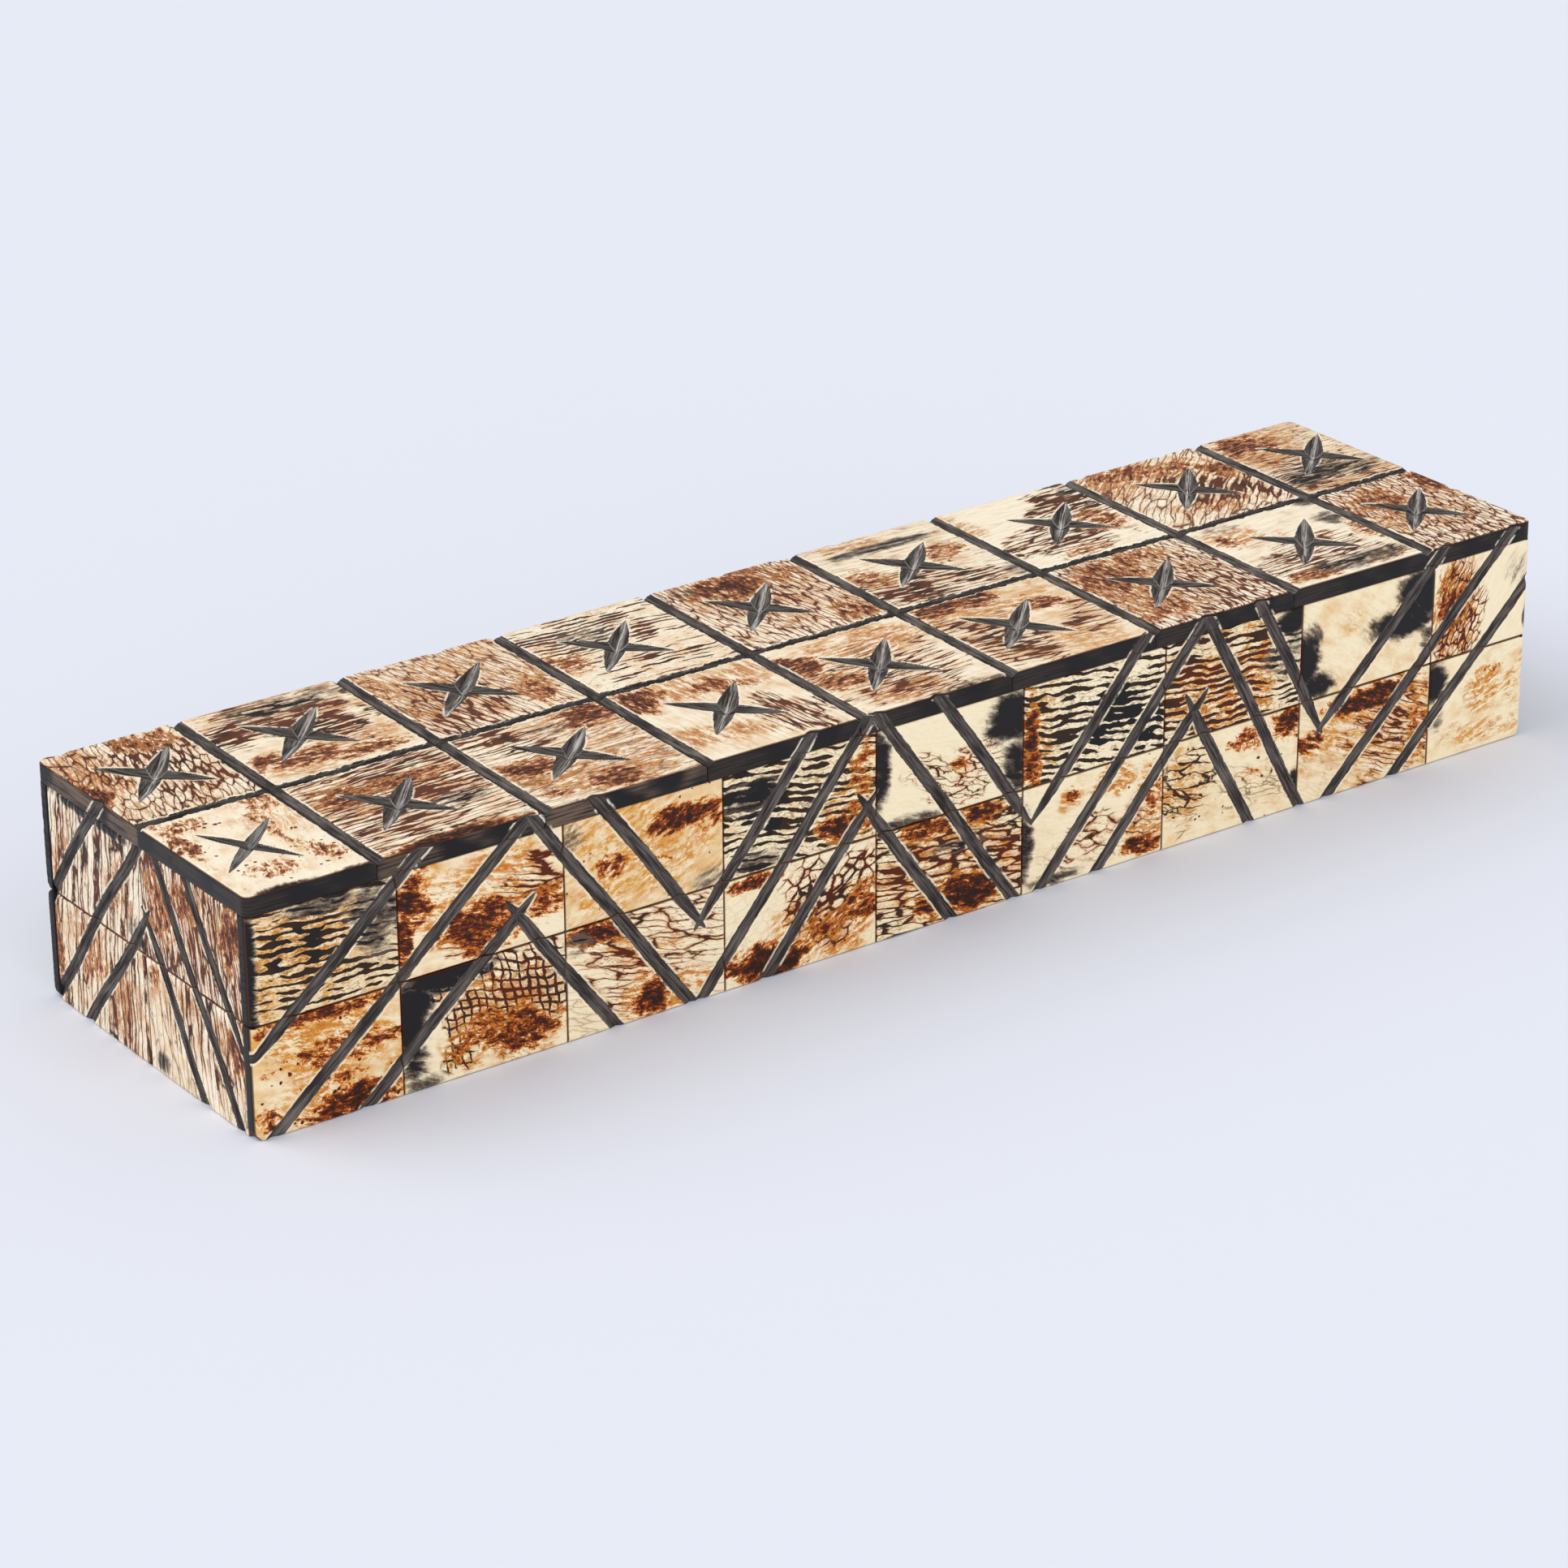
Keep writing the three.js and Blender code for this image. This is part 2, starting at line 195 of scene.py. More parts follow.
# ---------------------------------------------------------------- cuts
def line_cut(start, end, style, taper=(0, 0), seed=0, canoe=False, wander=0.0, shine=None):
    """One cut; its last argument, above 0, is how broad a painted highlight along its valley is, and below 0
    how dark the cut is painted, for shade and dirt.
    """
    made = dict(start=np.array(start, float), end=np.array(end, float), taper=taper, seed=seed, **style)
    made.update(canoe=canoe, wander=wander, shine=shine)
    return made


def slanting_cuts(legs, seed, wander):
    """The threes of slanting cuts on a side face, in its own (along, up) plane."""
    cuts = []
    for number, (foot, head, above, below) in enumerate(legs):
        lean = (head - foot) / HEIGHT
        upward = math.copysign(1, lean)
        lower_stop = LOWER_CUT_STOPS + (RUN_OFF if number == LAST_LEG else 0)
        stretches = [
            (0, -OVERRUN, HEIGHT + OVERRUN, (0, 0)),
            (-upward * above, UPPER_CUT_STOPS, HEIGHT + OVERRUN, (TIP_TAPER, 0)),
            (upward * below, -OVERRUN, lower_stop, (0, TIP_TAPER)),
        ]
        for part, (shift, low, high, taper) in enumerate(stretches):
            start = (foot + shift + lean * low, low)
            end = (foot + shift + lean * high, high)
            cuts.append(line_cut(start, end, SIDE_CUT, taper, seed + 3 * number + part, wander=wander))
    return cuts


def cut_field(u, v, cuts):
    """How deep the cuts go at each point, how far inside a cut it lies, and its place along and across it."""
    depth = np.zeros_like(u)
    inside = np.full_like(u, -FAR)
    along = np.zeros_like(u)
    across = np.zeros_like(u)
    ridge = np.full_like(u, NO_RIDGE)
    for cut in cuts:
        line = cut["end"] - cut["start"]
        length = np.linalg.norm(line)
        line = line / length
        s = (u - cut["start"][0]) * line[0] + (v - cut["start"][1]) * line[1]
        d = (v - cut["start"][1]) * line[0] - (u - cut["start"][0]) * line[1]
        d = d + cut["wander"] * np.sin(s / 6.5 + cut["seed"] * 2.1)
        side = np.where(d > 0, 1.0, 2.6)
        wavering = wobble(s, cut["seed"] * side, 9.0) + 0.6 * wobble(s, cut["seed"] + side, 2.6)
        rough = 1 + cut["ragged"] * wavering
        if cut["canoe"]:
            t = np.clip(np.abs(2 * s / length - 1), 0, 1)
            narrowing = 1 - t**1.9
        else:
            narrowing = np.ones_like(s)
            if cut["taper"][0]:
                narrowing *= np.sqrt(np.clip(s / cut["taper"][0], 0, 1))
            if cut["taper"][1]:
                narrowing *= np.sqrt(np.clip((length - s) / cut["taper"][1], 0, 1))
        past = (s < 0) | (s > length)
        half = cut["half"] * narrowing * rough
        share = np.clip(np.abs(d) / np.maximum(half, 1e-6), 0, 1)
        here = cut["depth"] * narrowing * (1 - share**1.35)
        here[past] = 0
        within = np.where(past, -FAR, half - np.abs(d))
        depth = np.maximum(depth, here)
        nearer = within > inside
        inside = np.where(nearer, within, inside)
        along = np.where(nearer, s, along)
        across = np.where(nearer, d + 7.0 * cut["seed"], across)
        # Painted light and shade in the cut: a painted highlight along the valley where the value is above 0,
        # painted shade and dirt where it is below 0.
        if cut["shine"] is not None:
            tone = np.abs(d) / cut["shine"] if cut["shine"] > 0 else np.full_like(d, cut["shine"])
            ridge = np.where(nearer & (within > 0), tone, ridge)
    return depth, inside, along, across, ridge


# ---------------------------------------------------------------- faces of the box
# Each maps (along, up, out) on a face, in millimetres, to the box's own frame. out is 0 on the face.
FACES = {
    "top": lambda u, v, w: (u, v, HEIGHT + w),
    "front": lambda u, v, w: (u, -WIDTH / 2 - w, v),
    "right": lambda u, v, w: (LENGTH / 2 + w, u, v),
    "back": lambda u, v, w: (-u, WIDTH / 2 + w, v),
    "left": lambda u, v, w: (-LENGTH / 2 - w, -u, v),
}
SIDE_CUTS = {
    "front": slanting_cuts(LONG_SIDE_CUTS, 10, 0.12),
    "right": slanting_cuts(END_CUTS, 50, 0.35),
    "back": slanting_cuts(LONG_SIDE_CUTS, 70, 0.12),
    "left": slanting_cuts(END_CUTS, 110, 0.35),
}
INWARD = {"front": (1, 1), "back": (1, -1), "left": (0, 1), "right": (0, -1)}  # axis and sign
# Only the cuts that were filed after the lid was capped run on through the slabs' edges.
BAND_CUTS = {
    "front": SIDE_CUTS["front"],
    "right": SIDE_CUTS["right"][1:2],
    "back": SIDE_CUTS["back"],
    "left": SIDE_CUTS["left"][1:2],
}


def on_side(face, x, y, z):
    """Along, up and depth behind a side face, for points in the box's frame."""
    if face == "front":
        return x, z, y + WIDTH / 2
    if face == "back":
        return -x, z, WIDTH / 2 - y
    if face == "left":
        return -y, z, x + LENGTH / 2
    return y, z, LENGTH / 2 - x


def spaced(low, high, step):
    return np.linspace(low, high, max(2, int(round((high - low) / step)) + 1))


def rounded_drop(distance, radius):
    """How far a rounded edge of that radius drops at a distance from the border."""
    t = np.clip(radius - distance, 0, radius)
    return radius - np.sqrt(np.maximum(radius**2 - t**2, 0))


def stop_rise(u, depth):
    """How far a back tile's seam edge reaches past its face outline, at a depth behind the face."""
    rise = STOP_SLOPE * np.clip(depth, 0, AXIS_INSET)
    pocket = np.abs(np.abs(u) - HINGE_PLACE) < POCKET_HALF_LENGTH
    room = STOP_SLOPE * AXIS_INSET + HINGE_AXIS[2] - BASE_TOP - POCKET_HALF_HEIGHT
    return np.where(pocket, np.minimum(rise, room), rise)


def border_of(nu, nv):
    """The outer points of a grid, once round."""
    border = [(i, 0) for i in range(nu)] + [(nu - 1, j) for j in range(1, nv)]
    border += [(i, nv - 1) for i in range(nu - 2, -1, -1)] + [(0, j) for j in range(nv - 2, 0, -1)]
    return np.array([i * nv + j for i, j in border])


def round_corners(u, v, outline, corners):
    """Pulls the points beyond each rounded corner of the outline in to its arc."""
    u0, u1, v0, v1 = outline
    for side_u, side_v, radius in corners:
        du = (u - u0) if side_u < 0 else (u1 - u)
        dv = (v - v0) if side_v < 0 else (v1 - v)
        a, b = np.clip(radius - du, 0, None), np.clip(radius - dv, 0, None)
        both = (a > 0) & (b > 0)
        length = np.hypot(a, b)
        pull = np.where(both, np.maximum(a, b) / np.maximum(length, 1e-9), 1)
        u = np.where(both, u - side_u * a * (1 - pull), u)
        v = np.where(both, v - side_v * b * (1 - pull), v)
    return u, v


def edge_mask(look, band, all_u, ring, face_count):
    """0 on the face, 0.5 at its border where the joint is singed, and 1 where the edge is dyed black."""
    wall = np.zeros(len(all_u))
    wall[ring] = 0.5
    wall[face_count:face_count + len(ring)] = 0.5
    if look["dyed_edge"]:
        rim = np.arange(len(all_u)) >= face_count
        rim[ring] = True
        if not band:
            rim &= np.abs(all_u) > LENGTH / 2 - CORNER_ROUND
        wall[rim] = 1
    return wall


def notch_walls(band, points, cutline, face_count):
    """Runs the cuts of the band's sides through a slab's walls; points and cutline change in place."""
    along, across, inside = cutline
    for side in band:
        su, sv, behind = on_side(side, *points)
        notch, notch_inside, notch_along, notch_across, _ = cut_field(su, sv, BAND_CUTS[side])
        axis, inward = INWARD[side]
        points[axis] += inward * (notch * np.clip(1 - behind / NOTCH_FADE, 0, 1))
        on_wall = (np.arange(len(behind)) >= face_count) & (behind < NOTCH_SHOWS)
        nearer = on_wall & (notch_inside > inside)
        along[nearer] = notch_along[nearer]
        across[nearer] = notch_across[nearer]
        inside[nearer] = notch_inside[nearer]


def grid_faces(nu, nv, ring, levels):
    """The quads of the face and of its walls, and the last ring of the walls."""
    grid = np.arange(nu * nv).reshape(nu, nv)
    quads = [np.stack([grid[:-1, :-1], grid[1:, :-1], grid[1:, 1:], grid[:-1, 1:]], -1).reshape(-1, 4)]
    upper = ring
    for level in range(levels):
        lower = nu * nv + level * len(ring) + np.arange(len(ring))
        quads.append(np.stack([np.roll(upper, -1), upper, lower, np.roll(lower, -1)], -1))
        upper = lower
    return np.concatenate(quads), upper


def closed_mesh(name, points, quads, last_ring):
    """A smooth mesh of quads, its open end capped."""
    loops = np.concatenate([quads.ravel(), last_ring[::-1]])
    starts = np.concatenate([np.arange(len(quads)) * 4, [len(quads) * 4]])
    totals = np.concatenate([np.full(len(quads), 4), [len(last_ring)]])
    mesh = bpy.data.meshes.new(name)
    mesh.vertices.add(len(points))
    mesh.vertices.foreach_set("co", points.astype(np.float32).ravel())
    mesh.loops.add(len(loops))
    mesh.loops.foreach_set("vertex_index", loops.astype(np.int32))
    mesh.polygons.add(len(starts))
    mesh.polygons.foreach_set("loop_start", starts.astype(np.int32))
    mesh.polygons.foreach_set("loop_total", totals.astype(np.int32))
    mesh.update(calc_edges=True)
    mesh.polygons.foreach_set("use_smooth", np.ones(len(starts), bool))
    return mesh


def build_tile(name, face, outline, low_w, cuts, rounds, look, corners=(), band=(), lean=0.0, seam=0):
    """One carved tile as a closed mesh.

    outline is (u0, u1, v0, v1) on the face, low_w its underside, and rounds the edge radii: left, right,
    bottom and top. corners are the outline's rounded corners as (side of u, side of v, radius). band is the
    side faces whose cuts notch it. lean is how far its joints lean in u over the box's width. seam is the
    edge (1 upper, -1 lower) that is cut away as a stop.
    """
    u0, u1, v0, v1 = outline
    us, vs = spaced(u0, u1, GRID), spaced(v0, v1, GRID)
    nu, nv = len(us), len(vs)
    fu, fv = (c.ravel() for c in np.meshgrid(us, vs, indexing="ij"))
    ring = border_of(nu, nv)

    drop = rounded_drop(fu - u0, rounds[0]) + rounded_drop(u1 - fu, rounds[1])
    drop += rounded_drop(fv - v0, rounds[2]) + rounded_drop(v1 - fv, rounds[3])
    drop = np.minimum(drop, min(max(rounds), CORNER_ROUND))

    u, v = round_corners(fu, fv, outline, corners)
    share = (fu - u0) / (u1 - u0)
    if u0 <= -LENGTH / 2:
        lean = lean * share
    elif u1 >= LENGTH / 2:
        lean = lean * (1 - share)
    u = u + lean * v / WIDTH

    depth, inside, along, across, ridge = cut_field(u, v, cuts)
    waver = WAVER * cloud(u, v, look["seed"] + 500, 9.0, 2) - WAVER
    w = np.minimum(-np.maximum(depth, drop) + np.where(depth > 0, 0, waver), 0)

    levels = BAND_LEVELS if band else WALL_LEVELS
    wall_u, wall_v = np.tile(u[ring], levels), np.tile(v[ring], levels)
    shares = np.linspace(0, 1, levels + 1)[1:]
    wall_w = np.concatenate([w[ring] + (low_w - w[ring]) * share for share in shares])
    all_u, all_v, all_w = (np.concatenate(pair) for pair in ((u, wall_u), (v, wall_v), (w, wall_w)))
    if seam:
        on_edge = np.zeros((nu, nv), bool)
        on_edge[:, nv - 1 if seam > 0 else 0] = True
        on_edge = on_edge.ravel()
        sloping = np.concatenate([on_edge, np.tile(on_edge[ring], levels)])
        all_v = np.where(sloping, all_v + seam * stop_rise(all_u, -all_w), all_v)

    points = [np.array(c, float) for c in FACES[face](all_u, all_v, all_w)]
    cutline = [np.concatenate([along, wall_u + wall_v]), np.concatenate([across, wall_w])]
    cutline.append(np.concatenate([inside, np.tile(inside[ring], levels) - FAR]))
    notch_walls(band, points, cutline, nu * nv)
    mesh = closed_mesh(name, np.stack(points, -1) * MM, *grid_faces(nu, nv, ring, levels))

    place = np.stack([all_u - (u0 + u1) / 2, all_v - (v0 + v1) / 2, all_w], -1)
    paint_masks(mesh, place, (u1 - u0) / 2, (v1 - v0) / 2, look)
    store(mesh, "edge", "FLOAT", "value", edge_mask(look, band, all_u, ring, nu * nv))
    store(mesh, "ridge", "FLOAT", "value", np.concatenate([ridge, np.full(len(wall_u), NO_RIDGE)]))
    store(mesh, "place", "FLOAT_VECTOR", "vector", place)
    store(mesh, "cutline", "FLOAT_VECTOR", "vector", np.stack(cutline, -1))
    mesh.materials.append(bone_material(name, look))
    return add_object(name, mesh)


def add_object(name, data):
    made = bpy.data.objects.new(name, data)
    bpy.context.scene.collection.objects.link(made)
    return made


def store(mesh, name, kind, field, values):
    attribute = mesh.attributes.new(name, kind, "POINT")
    attribute.data.foreach_set(field, values.astype(np.float32).ravel())


# How ragged the edge of each kind of patch is, and where it has faded out, in reaches.
PATCH_EDGES = {"b": (0.75, 1.4), "s": (0.75, 1.25), "k": (0.28, 1.25), "l": (0.75, 1.25)}


def paint_masks(mesh, place, half_u, half_v, look):
    """Where the bone is burnt, stained, dyed black and crackled: the four channels of one attribute."""
    x, y = place[:, 0], place[:, 1]
    masks = {kind: np.zeros(len(x)) for kind in PATCH_EDGES}
    masks["l"] += look["lines"]
    for number, (kind, pu, pv, ru, rv, strength) in enumerate(look["patches"]):
        reach = np.hypot((x / half_u - pu) / ru, (y / half_v - pv) / rv)
        ragged, fades_at = PATCH_EDGES[kind]
        reach = reach + ragged * cloud(x, y, look["seed"] + 7 * number, 7.0, 4)
        masks[kind] = np.maximum(masks[kind], strength * (1 - smooth(reach, 0.3, fades_at)))
    store(mesh, "masks", "FLOAT_COLOR", "color", np.stack(list(masks.values()), -1))


# ---------------------------------------------------------------- materials
class Graph:
    """Short names for making and joining shader nodes."""

    def __init__(self, tree):
        self.tree = tree

    def put(self, kind, inputs=None, **settings):
        node = self.tree.nodes.new(kind)
        for key, value in settings.items():
            setattr(node, key, value)
        for key, value in (inputs or {}).items():
            if isinstance(value, bpy.types.NodeSocket):
                self.tree.links.new(value, node.inputs[key])
            else:
                node.inputs[key].default_value = value
        return node

    def math(self, operation, a, b=0.0, c=0.0):
        return self.put("ShaderNodeMath", {0: a, 1: b, 2: c}, operation=operation).outputs[0]

    def add(self, a, b):
        return self.math("ADD", a, b)

    def mul(self, a, b):
        return self.math("MULTIPLY", a, b)

    def sub(self, a, b):
        return self.math("SUBTRACT", a, b)

    def span(self, value, low, high, to_low=0.0, to_high=1.0, kind="SMOOTHSTEP"):
        inputs = {0: value, 1: low, 2: high, 3: to_low, 4: to_high}
        return self.put("ShaderNodeMapRange", inputs, interpolation_type=kind).outputs[0]

    def vector(self, operation, a, b=(0, 0, 0)):
        return self.put("ShaderNodeVectorMath", {0: a, 1: b}, operation=operation).outputs[0]

    def scale(self, a, factor):
        return self.put("ShaderNodeVectorMath", {0: a, "Scale": factor}, operation="SCALE").outputs[0]

    def split(self, a):
        return self.put("ShaderNodeSeparateXYZ", {0: a}).outputs[:]

    def join(self, x, y, z=0.0):
        return self.put("ShaderNodeCombineXYZ", {0: x, 1: y, 2: z}).outputs[0]

    def attribute(self, name):
        return self.put("ShaderNodeAttribute", attribute_name=name).outputs

    def mix(self, share, a, b):
        return self.put("ShaderNodeMix", {0: share, 6: a, 7: b}, data_type="RGBA").outputs[2]

    def noise(self, place, scale, detail=3.0, roughness=0.55, distortion=0.0):
        inputs = {"Vector": place, "Scale": scale, "Detail": detail, "Roughness": roughness}
        inputs["Distortion"] = distortion
        return self.put("ShaderNodeTexNoise", inputs)

    def cracks(self, place, scale):
        inputs = {"Vector": place, "Scale": scale}
        return self.put("ShaderNodeTexVoronoi", inputs, feature="DISTANCE_TO_EDGE").outputs["Distance"]


def rgb(red, green, blue):
    """A colour given as 0 to 255, turned into the linear values that shaders take."""
    linear = [c / 255 / 12.92 if c <= 10 else ((c / 255 + 0.055) / 1.055) ** 2.4 for c in (red, green, blue)]
    return (*linear, 1.0)


CREAM = rgb(255, 240, 205)
TAN = rgb(236, 194, 134)
GOLD = rgb(226, 158, 50)
ORANGE = rgb(206, 112, 30)
SIENNA = rgb(148, 64, 10)
RED_BROWN = rgb(88, 32, 5)
BURNT = rgb(40, 21, 12)
INK = rgb(50, 32, 20)
HAIR = rgb(134, 104, 72)
DYE = rgb(24, 21, 23)
SMOKED = rgb(114, 97, 82)
HORN = rgb(118, 98, 80)
# Painted sheen: paler, rosier copies of the bone colours above, for the top and the ends, painted in for the
# pale reflection on them.
POLISHED_CREAM = rgb(255, 244, 220)
ROSY_TAN = rgb(236, 198, 150)
ROSY_GOLD = rgb(222, 166, 100)
ROSY_ORANGE = rgb(192, 122, 72)
ROSY_SIENNA = rgb(142, 78, 44)
ROSY_BROWN = rgb(96, 50, 32)
GROOVE_DARK = rgb(44, 38, 37)
GROOVE_LIGHT = rgb(136, 126, 120)
# Painted highlight along a cut's valley.
RIDGE = rgb(206, 200, 194)
# Painted shade and dirt for the darker cuts.
GROOVE_DIRT = rgb(34, 26, 22)

# What each material gives the group, besides its shift and angle; a look has them in lower case.
BONE_INPUTS = (
    "Cell", "Stretch", "Warp", "Line", "Stroke", "Weave", "Halo", "Red", "Warmth", "Specks", "Horn", "Polish"
)


def bone_group():
    """The scorched, crackled and dyed bone, its black edges and its grooves, as one node group."""
    tree = bpy.data.node_groups.new("bone", "ShaderNodeTree")
    tree.interface.new_socket("Shift", in_out="INPUT", socket_type="NodeSocketVector")
    for name in ("Angle", *BONE_INPUTS):
        tree.interface.new_socket(name, in_out="INPUT", socket_type="NodeSocketFloat")
    for name, kind in {"Color": "Color", "Roughness": "Float", "Height": "Float"}.items():
        tree.interface.new_socket(name, in_out="OUTPUT", socket_type="NodeSocket" + kind)
    g = Graph(tree)
    given = g.put("NodeGroupInput").outputs
    place = g.attribute("place")["Vector"]
    masks = g.attribute("masks")
    burn, stain, smoke = g.split(masks["Vector"])
    crackle = masks["Alpha"]
    ridge = g.attribute("ridge")["Fac"]
    edge = g.attribute("edge")["Fac"]
    cut = g.split(g.attribute("cutline")["Vector"])

    at = g.vector("ADD", place, given["Shift"])
    turning = {"Vector": at, "Angle": given["Angle"]}
    turned = g.put("ShaderNodeVectorRotate", turning, rotation_type="Z_AXIS").outputs[0]
    broad = g.vector("SUBTRACT", g.noise(at, 0.09, 2).outputs["Color"], (0.5, 0.5, 0.5))
    fine = g.vector("SUBTRACT", g.noise(at, 0.55, 2).outputs["Color"], (0.5, 0.5, 0.5))
    sway = g.scale(broad, g.mul(given["Warp"], 5.0))
    twitch = g.scale(fine, given["Warp"])
    bent = g.vector("ADD", g.vector("ADD", turned, sway), twitch)
    across = g.math("DIVIDE", 1.0, given["Cell"])
    lengthwise = g.math("DIVIDE", across, given["Stretch"])
    squeeze = g.join(lengthwise, across, across)
    stretched = g.vector("MULTIPLY", bent, squeeze)

    fibre = g.noise(g.vector("MULTIPLY", bent, (0.12, 2.6, 2.6)), 1.0, 3, 0.6).outputs["Fac"]
    strand = g.noise(g.vector("MULTIPLY", bent, (0.16, 0.8, 0.8)), 1.0, 4, 0.65).outputs["Fac"]
    mottle = g.noise(g.vector("MULTIPLY", bent, (0.5, 0.95, 0.95)), 1.0, 5, 0.78).outputs["Fac"]
    patchy = g.noise(at, 0.2, 3, 0.6).outputs["Fac"]
    ahead, beside, _ = g.split(bent)
    swing = g.math("SINE", g.mul(beside, g.mul(across, 2 * math.pi)))
    blob = g.noise(g.vector("MULTIPLY", stretched, (0.75,) * 3), 1.0, 1.5, 0.5).outputs["Fac"]

    # Painted sheen: the top and the ends get paler, rosier copies of the bone colours, painted in for the
    # pale glancing reflection on them.
    cream = g.mix(given["Polish"], CREAM, POLISHED_CREAM)
    tan = g.mix(given["Polish"], TAN, ROSY_TAN)
    gold = g.mix(given["Polish"], GOLD, ROSY_GOLD)
    orange = g.mix(given["Polish"], ORANGE, ROSY_ORANGE)
    sienna = g.mix(given["Polish"], SIENNA, ROSY_SIENNA)
    brown = g.mix(given["Polish"], RED_BROWN, ROSY_BROWN)

    # Bare bone: cream to tan, with a faint grain.
    tone = g.add(g.add(g.mul(patchy, 0.9), g.mul(strand, 0.5)), given["Warmth"])
    body = g.mix(g.span(tone, 0.66, 1.14), cream, tan)
    body = g.mix(g.mul(g.span(fibre, 0.44, 0.66), 0.22), body, tan)

    # Soft stains follow the grain.
    wash = g.mul(stain, g.span(g.add(g.mul(strand, 0.5), g.mul(mottle, 0.65)), 0.5, 0.66, 0.0, 1.0))
    colour = g.mix(g.span(wash, 0.03, 0.55, 0.0, 0.9), body, gold)
    colour = g.mix(g.span(wash, 0.45, 0.95, 0.0, 0.85), colour, orange)
    close = g.cracks(stretched, 2.4)
    vein = g.mul(g.span(close, 0.0, 0.1, 1.0, 0.0), g.mul(stain, g.span(mottle, 0.4, 0.56, 0.0, 0.55)))
    colour = g.mix(vein, colour, sienna)

    # Crackle: a drawn-out net of dark lines that swell and thin along the grain.
    coarse = g.cracks(stretched, 1.0)
    swell = g.span(strand, 0.38, 0.62, 0.5, 1.5)
    width = g.mul(g.mul(given["Line"], crackle), swell)
    gap = g.add(g.sub(coarse, width), g.mul(g.sub(fibre, 0.5), 0.04))
    present = g.span(crackle, 0.04, 0.3)
    line = g.mul(g.span(gap, -0.02, 0.035, 1.0, 0.0), g.mul(present, g.sub(1.0, given["Stroke"])))
    band = g.sub(g.add(blob, g.mul(swing, 0.13)), g.sub(0.655, g.mul(crackle, 0.165)))
    stroke = g.mul(g.span(band, 0.0, 0.03), g.mul(present, given["Stroke"]))
    line = g.math("MAXIMUM", line, stroke)
    slant = g.add(g.mul(beside, 0.42), g.mul(ahead, 0.9))
    other = g.math("SINE", g.mul(slant, g.mul(across, 2 * math.pi)))
    lattice = g.add(g.math("MAXIMUM", swing, other), g.mul(g.sub(blob, 0.5), 1.3))
    lattice = g.add(lattice, g.mul(crackle, 0.3))
    woven = g.mul(g.span(lattice, 0.74, 0.92), g.mul(present, given["Weave"]))
    line = g.math("MAXIMUM", g.mul(line, g.sub(1.0, given["Weave"])), woven)
    halo = g.mul(g.span(gap, 0.0, g.mul(given["Halo"], 0.14), 1.0, 0.0), present)
    halo = g.math("MAXIMUM", g.mul(halo, g.sub(1.0, given["Stroke"])), g.mul(g.span(band, -0.06, 0.0), stain))
    warm = g.span(g.add(g.add(given["Red"], g.mul(stain, 0.35)), g.mul(g.sub(patchy, 0.5), 1.6)), 0.25, 0.75)
    hair = g.span(g.sub(close, g.mul(g.mul(crackle, swell), 0.07)), -0.01, 0.05, 1.0, 0.0)
    hair = g.mul(g.mul(hair, present), g.span(mottle, 0.42, 0.58, 0.0, 0.75))
    colour = g.mix(g.mul(halo, 0.6), colour, g.mix(warm, tan, orange))
    colour = g.mix(hair, colour, g.mix(warm, HAIR, sienna))
    heavy = g.span(crackle, 1.0, 1.3)
    ink = g.mix(heavy, g.mix(warm, INK, brown), DYE)
    colour = g.mix(line, colour, ink)

    # Scorched patches break up into specks at their edges.
    blot = g.add(g.mul(burn, 1.06), g.mul(g.mul(g.sub(mottle, 0.5), 2.6), g.span(burn, 0.0, 0.2)))
    blot = g.add(blot, g.mul(g.mul(g.sub(strand, 0.5), 0.9), g.span(burn, 0.0, 0.2)))
    blot = g.add(blot, g.mul(g.sub(0.16, close), g.mul(burn, 0.9)))
    scorch = gold
    steps = ((0.28, 0.4, orange), (0.4, 0.52, sienna), (0.52, 0.68, brown), (0.68, 0.92, BURNT))
    for low, high, darker in steps:
        scorch = g.mix(g.span(blot, low, high, kind="LINEAR"), scorch, darker)
    colour = g.mix(g.span(blot, 0.12, 0.42), colour, scorch)

    # Small round scorch marks.
    dots = g.put("ShaderNodeTexVoronoi", {"Vector": g.vector("ADD", at, twitch), "Scale": 0.6}).outputs
    dot_size = g.mul(g.mul(given["Specks"], 0.62), g.span(g.noise(at, 0.16, 1).outputs["Fac"], 0.45, 0.66))
    dot = g.span(g.sub(dots["Distance"], dot_size), -0.06, 0.03, 1.0, 0.0)
    dot_tone = g.mix(g.span(dot, 0.5, 1.0), orange, brown)
    colour = g.mix(g.mul(dot, g.span(dot_size, 0.02, 0.12)), colour, dot_tone)

    # Black dye, feathered along the grain.
    feather = g.add(smoke, g.mul(g.mul(g.sub(strand, 0.5), 1.1), g.span(smoke, 0.0, 0.3)))
    feather = g.add(feather, g.mul(g.mul(g.sub(mottle, 0.5), 0.7), g.span(smoke, 0.0, 0.3)))
    feather = g.add(feather, g.mul(g.mul(line, 0.35), g.span(smoke, 0.1, 0.4)))
    colour = g.mix(g.span(feather, 0.08, 0.5, 0.0, 0.8), colour, g.mix(0.6, colour, SMOKED))
    colour = g.mix(g.span(feather, 0.25, 0.6, 0.0, 0.85), colour, SMOKED)
    blackened = g.span(feather, 0.38, 0.8)
    colour = g.mix(blackened, colour, DYE)

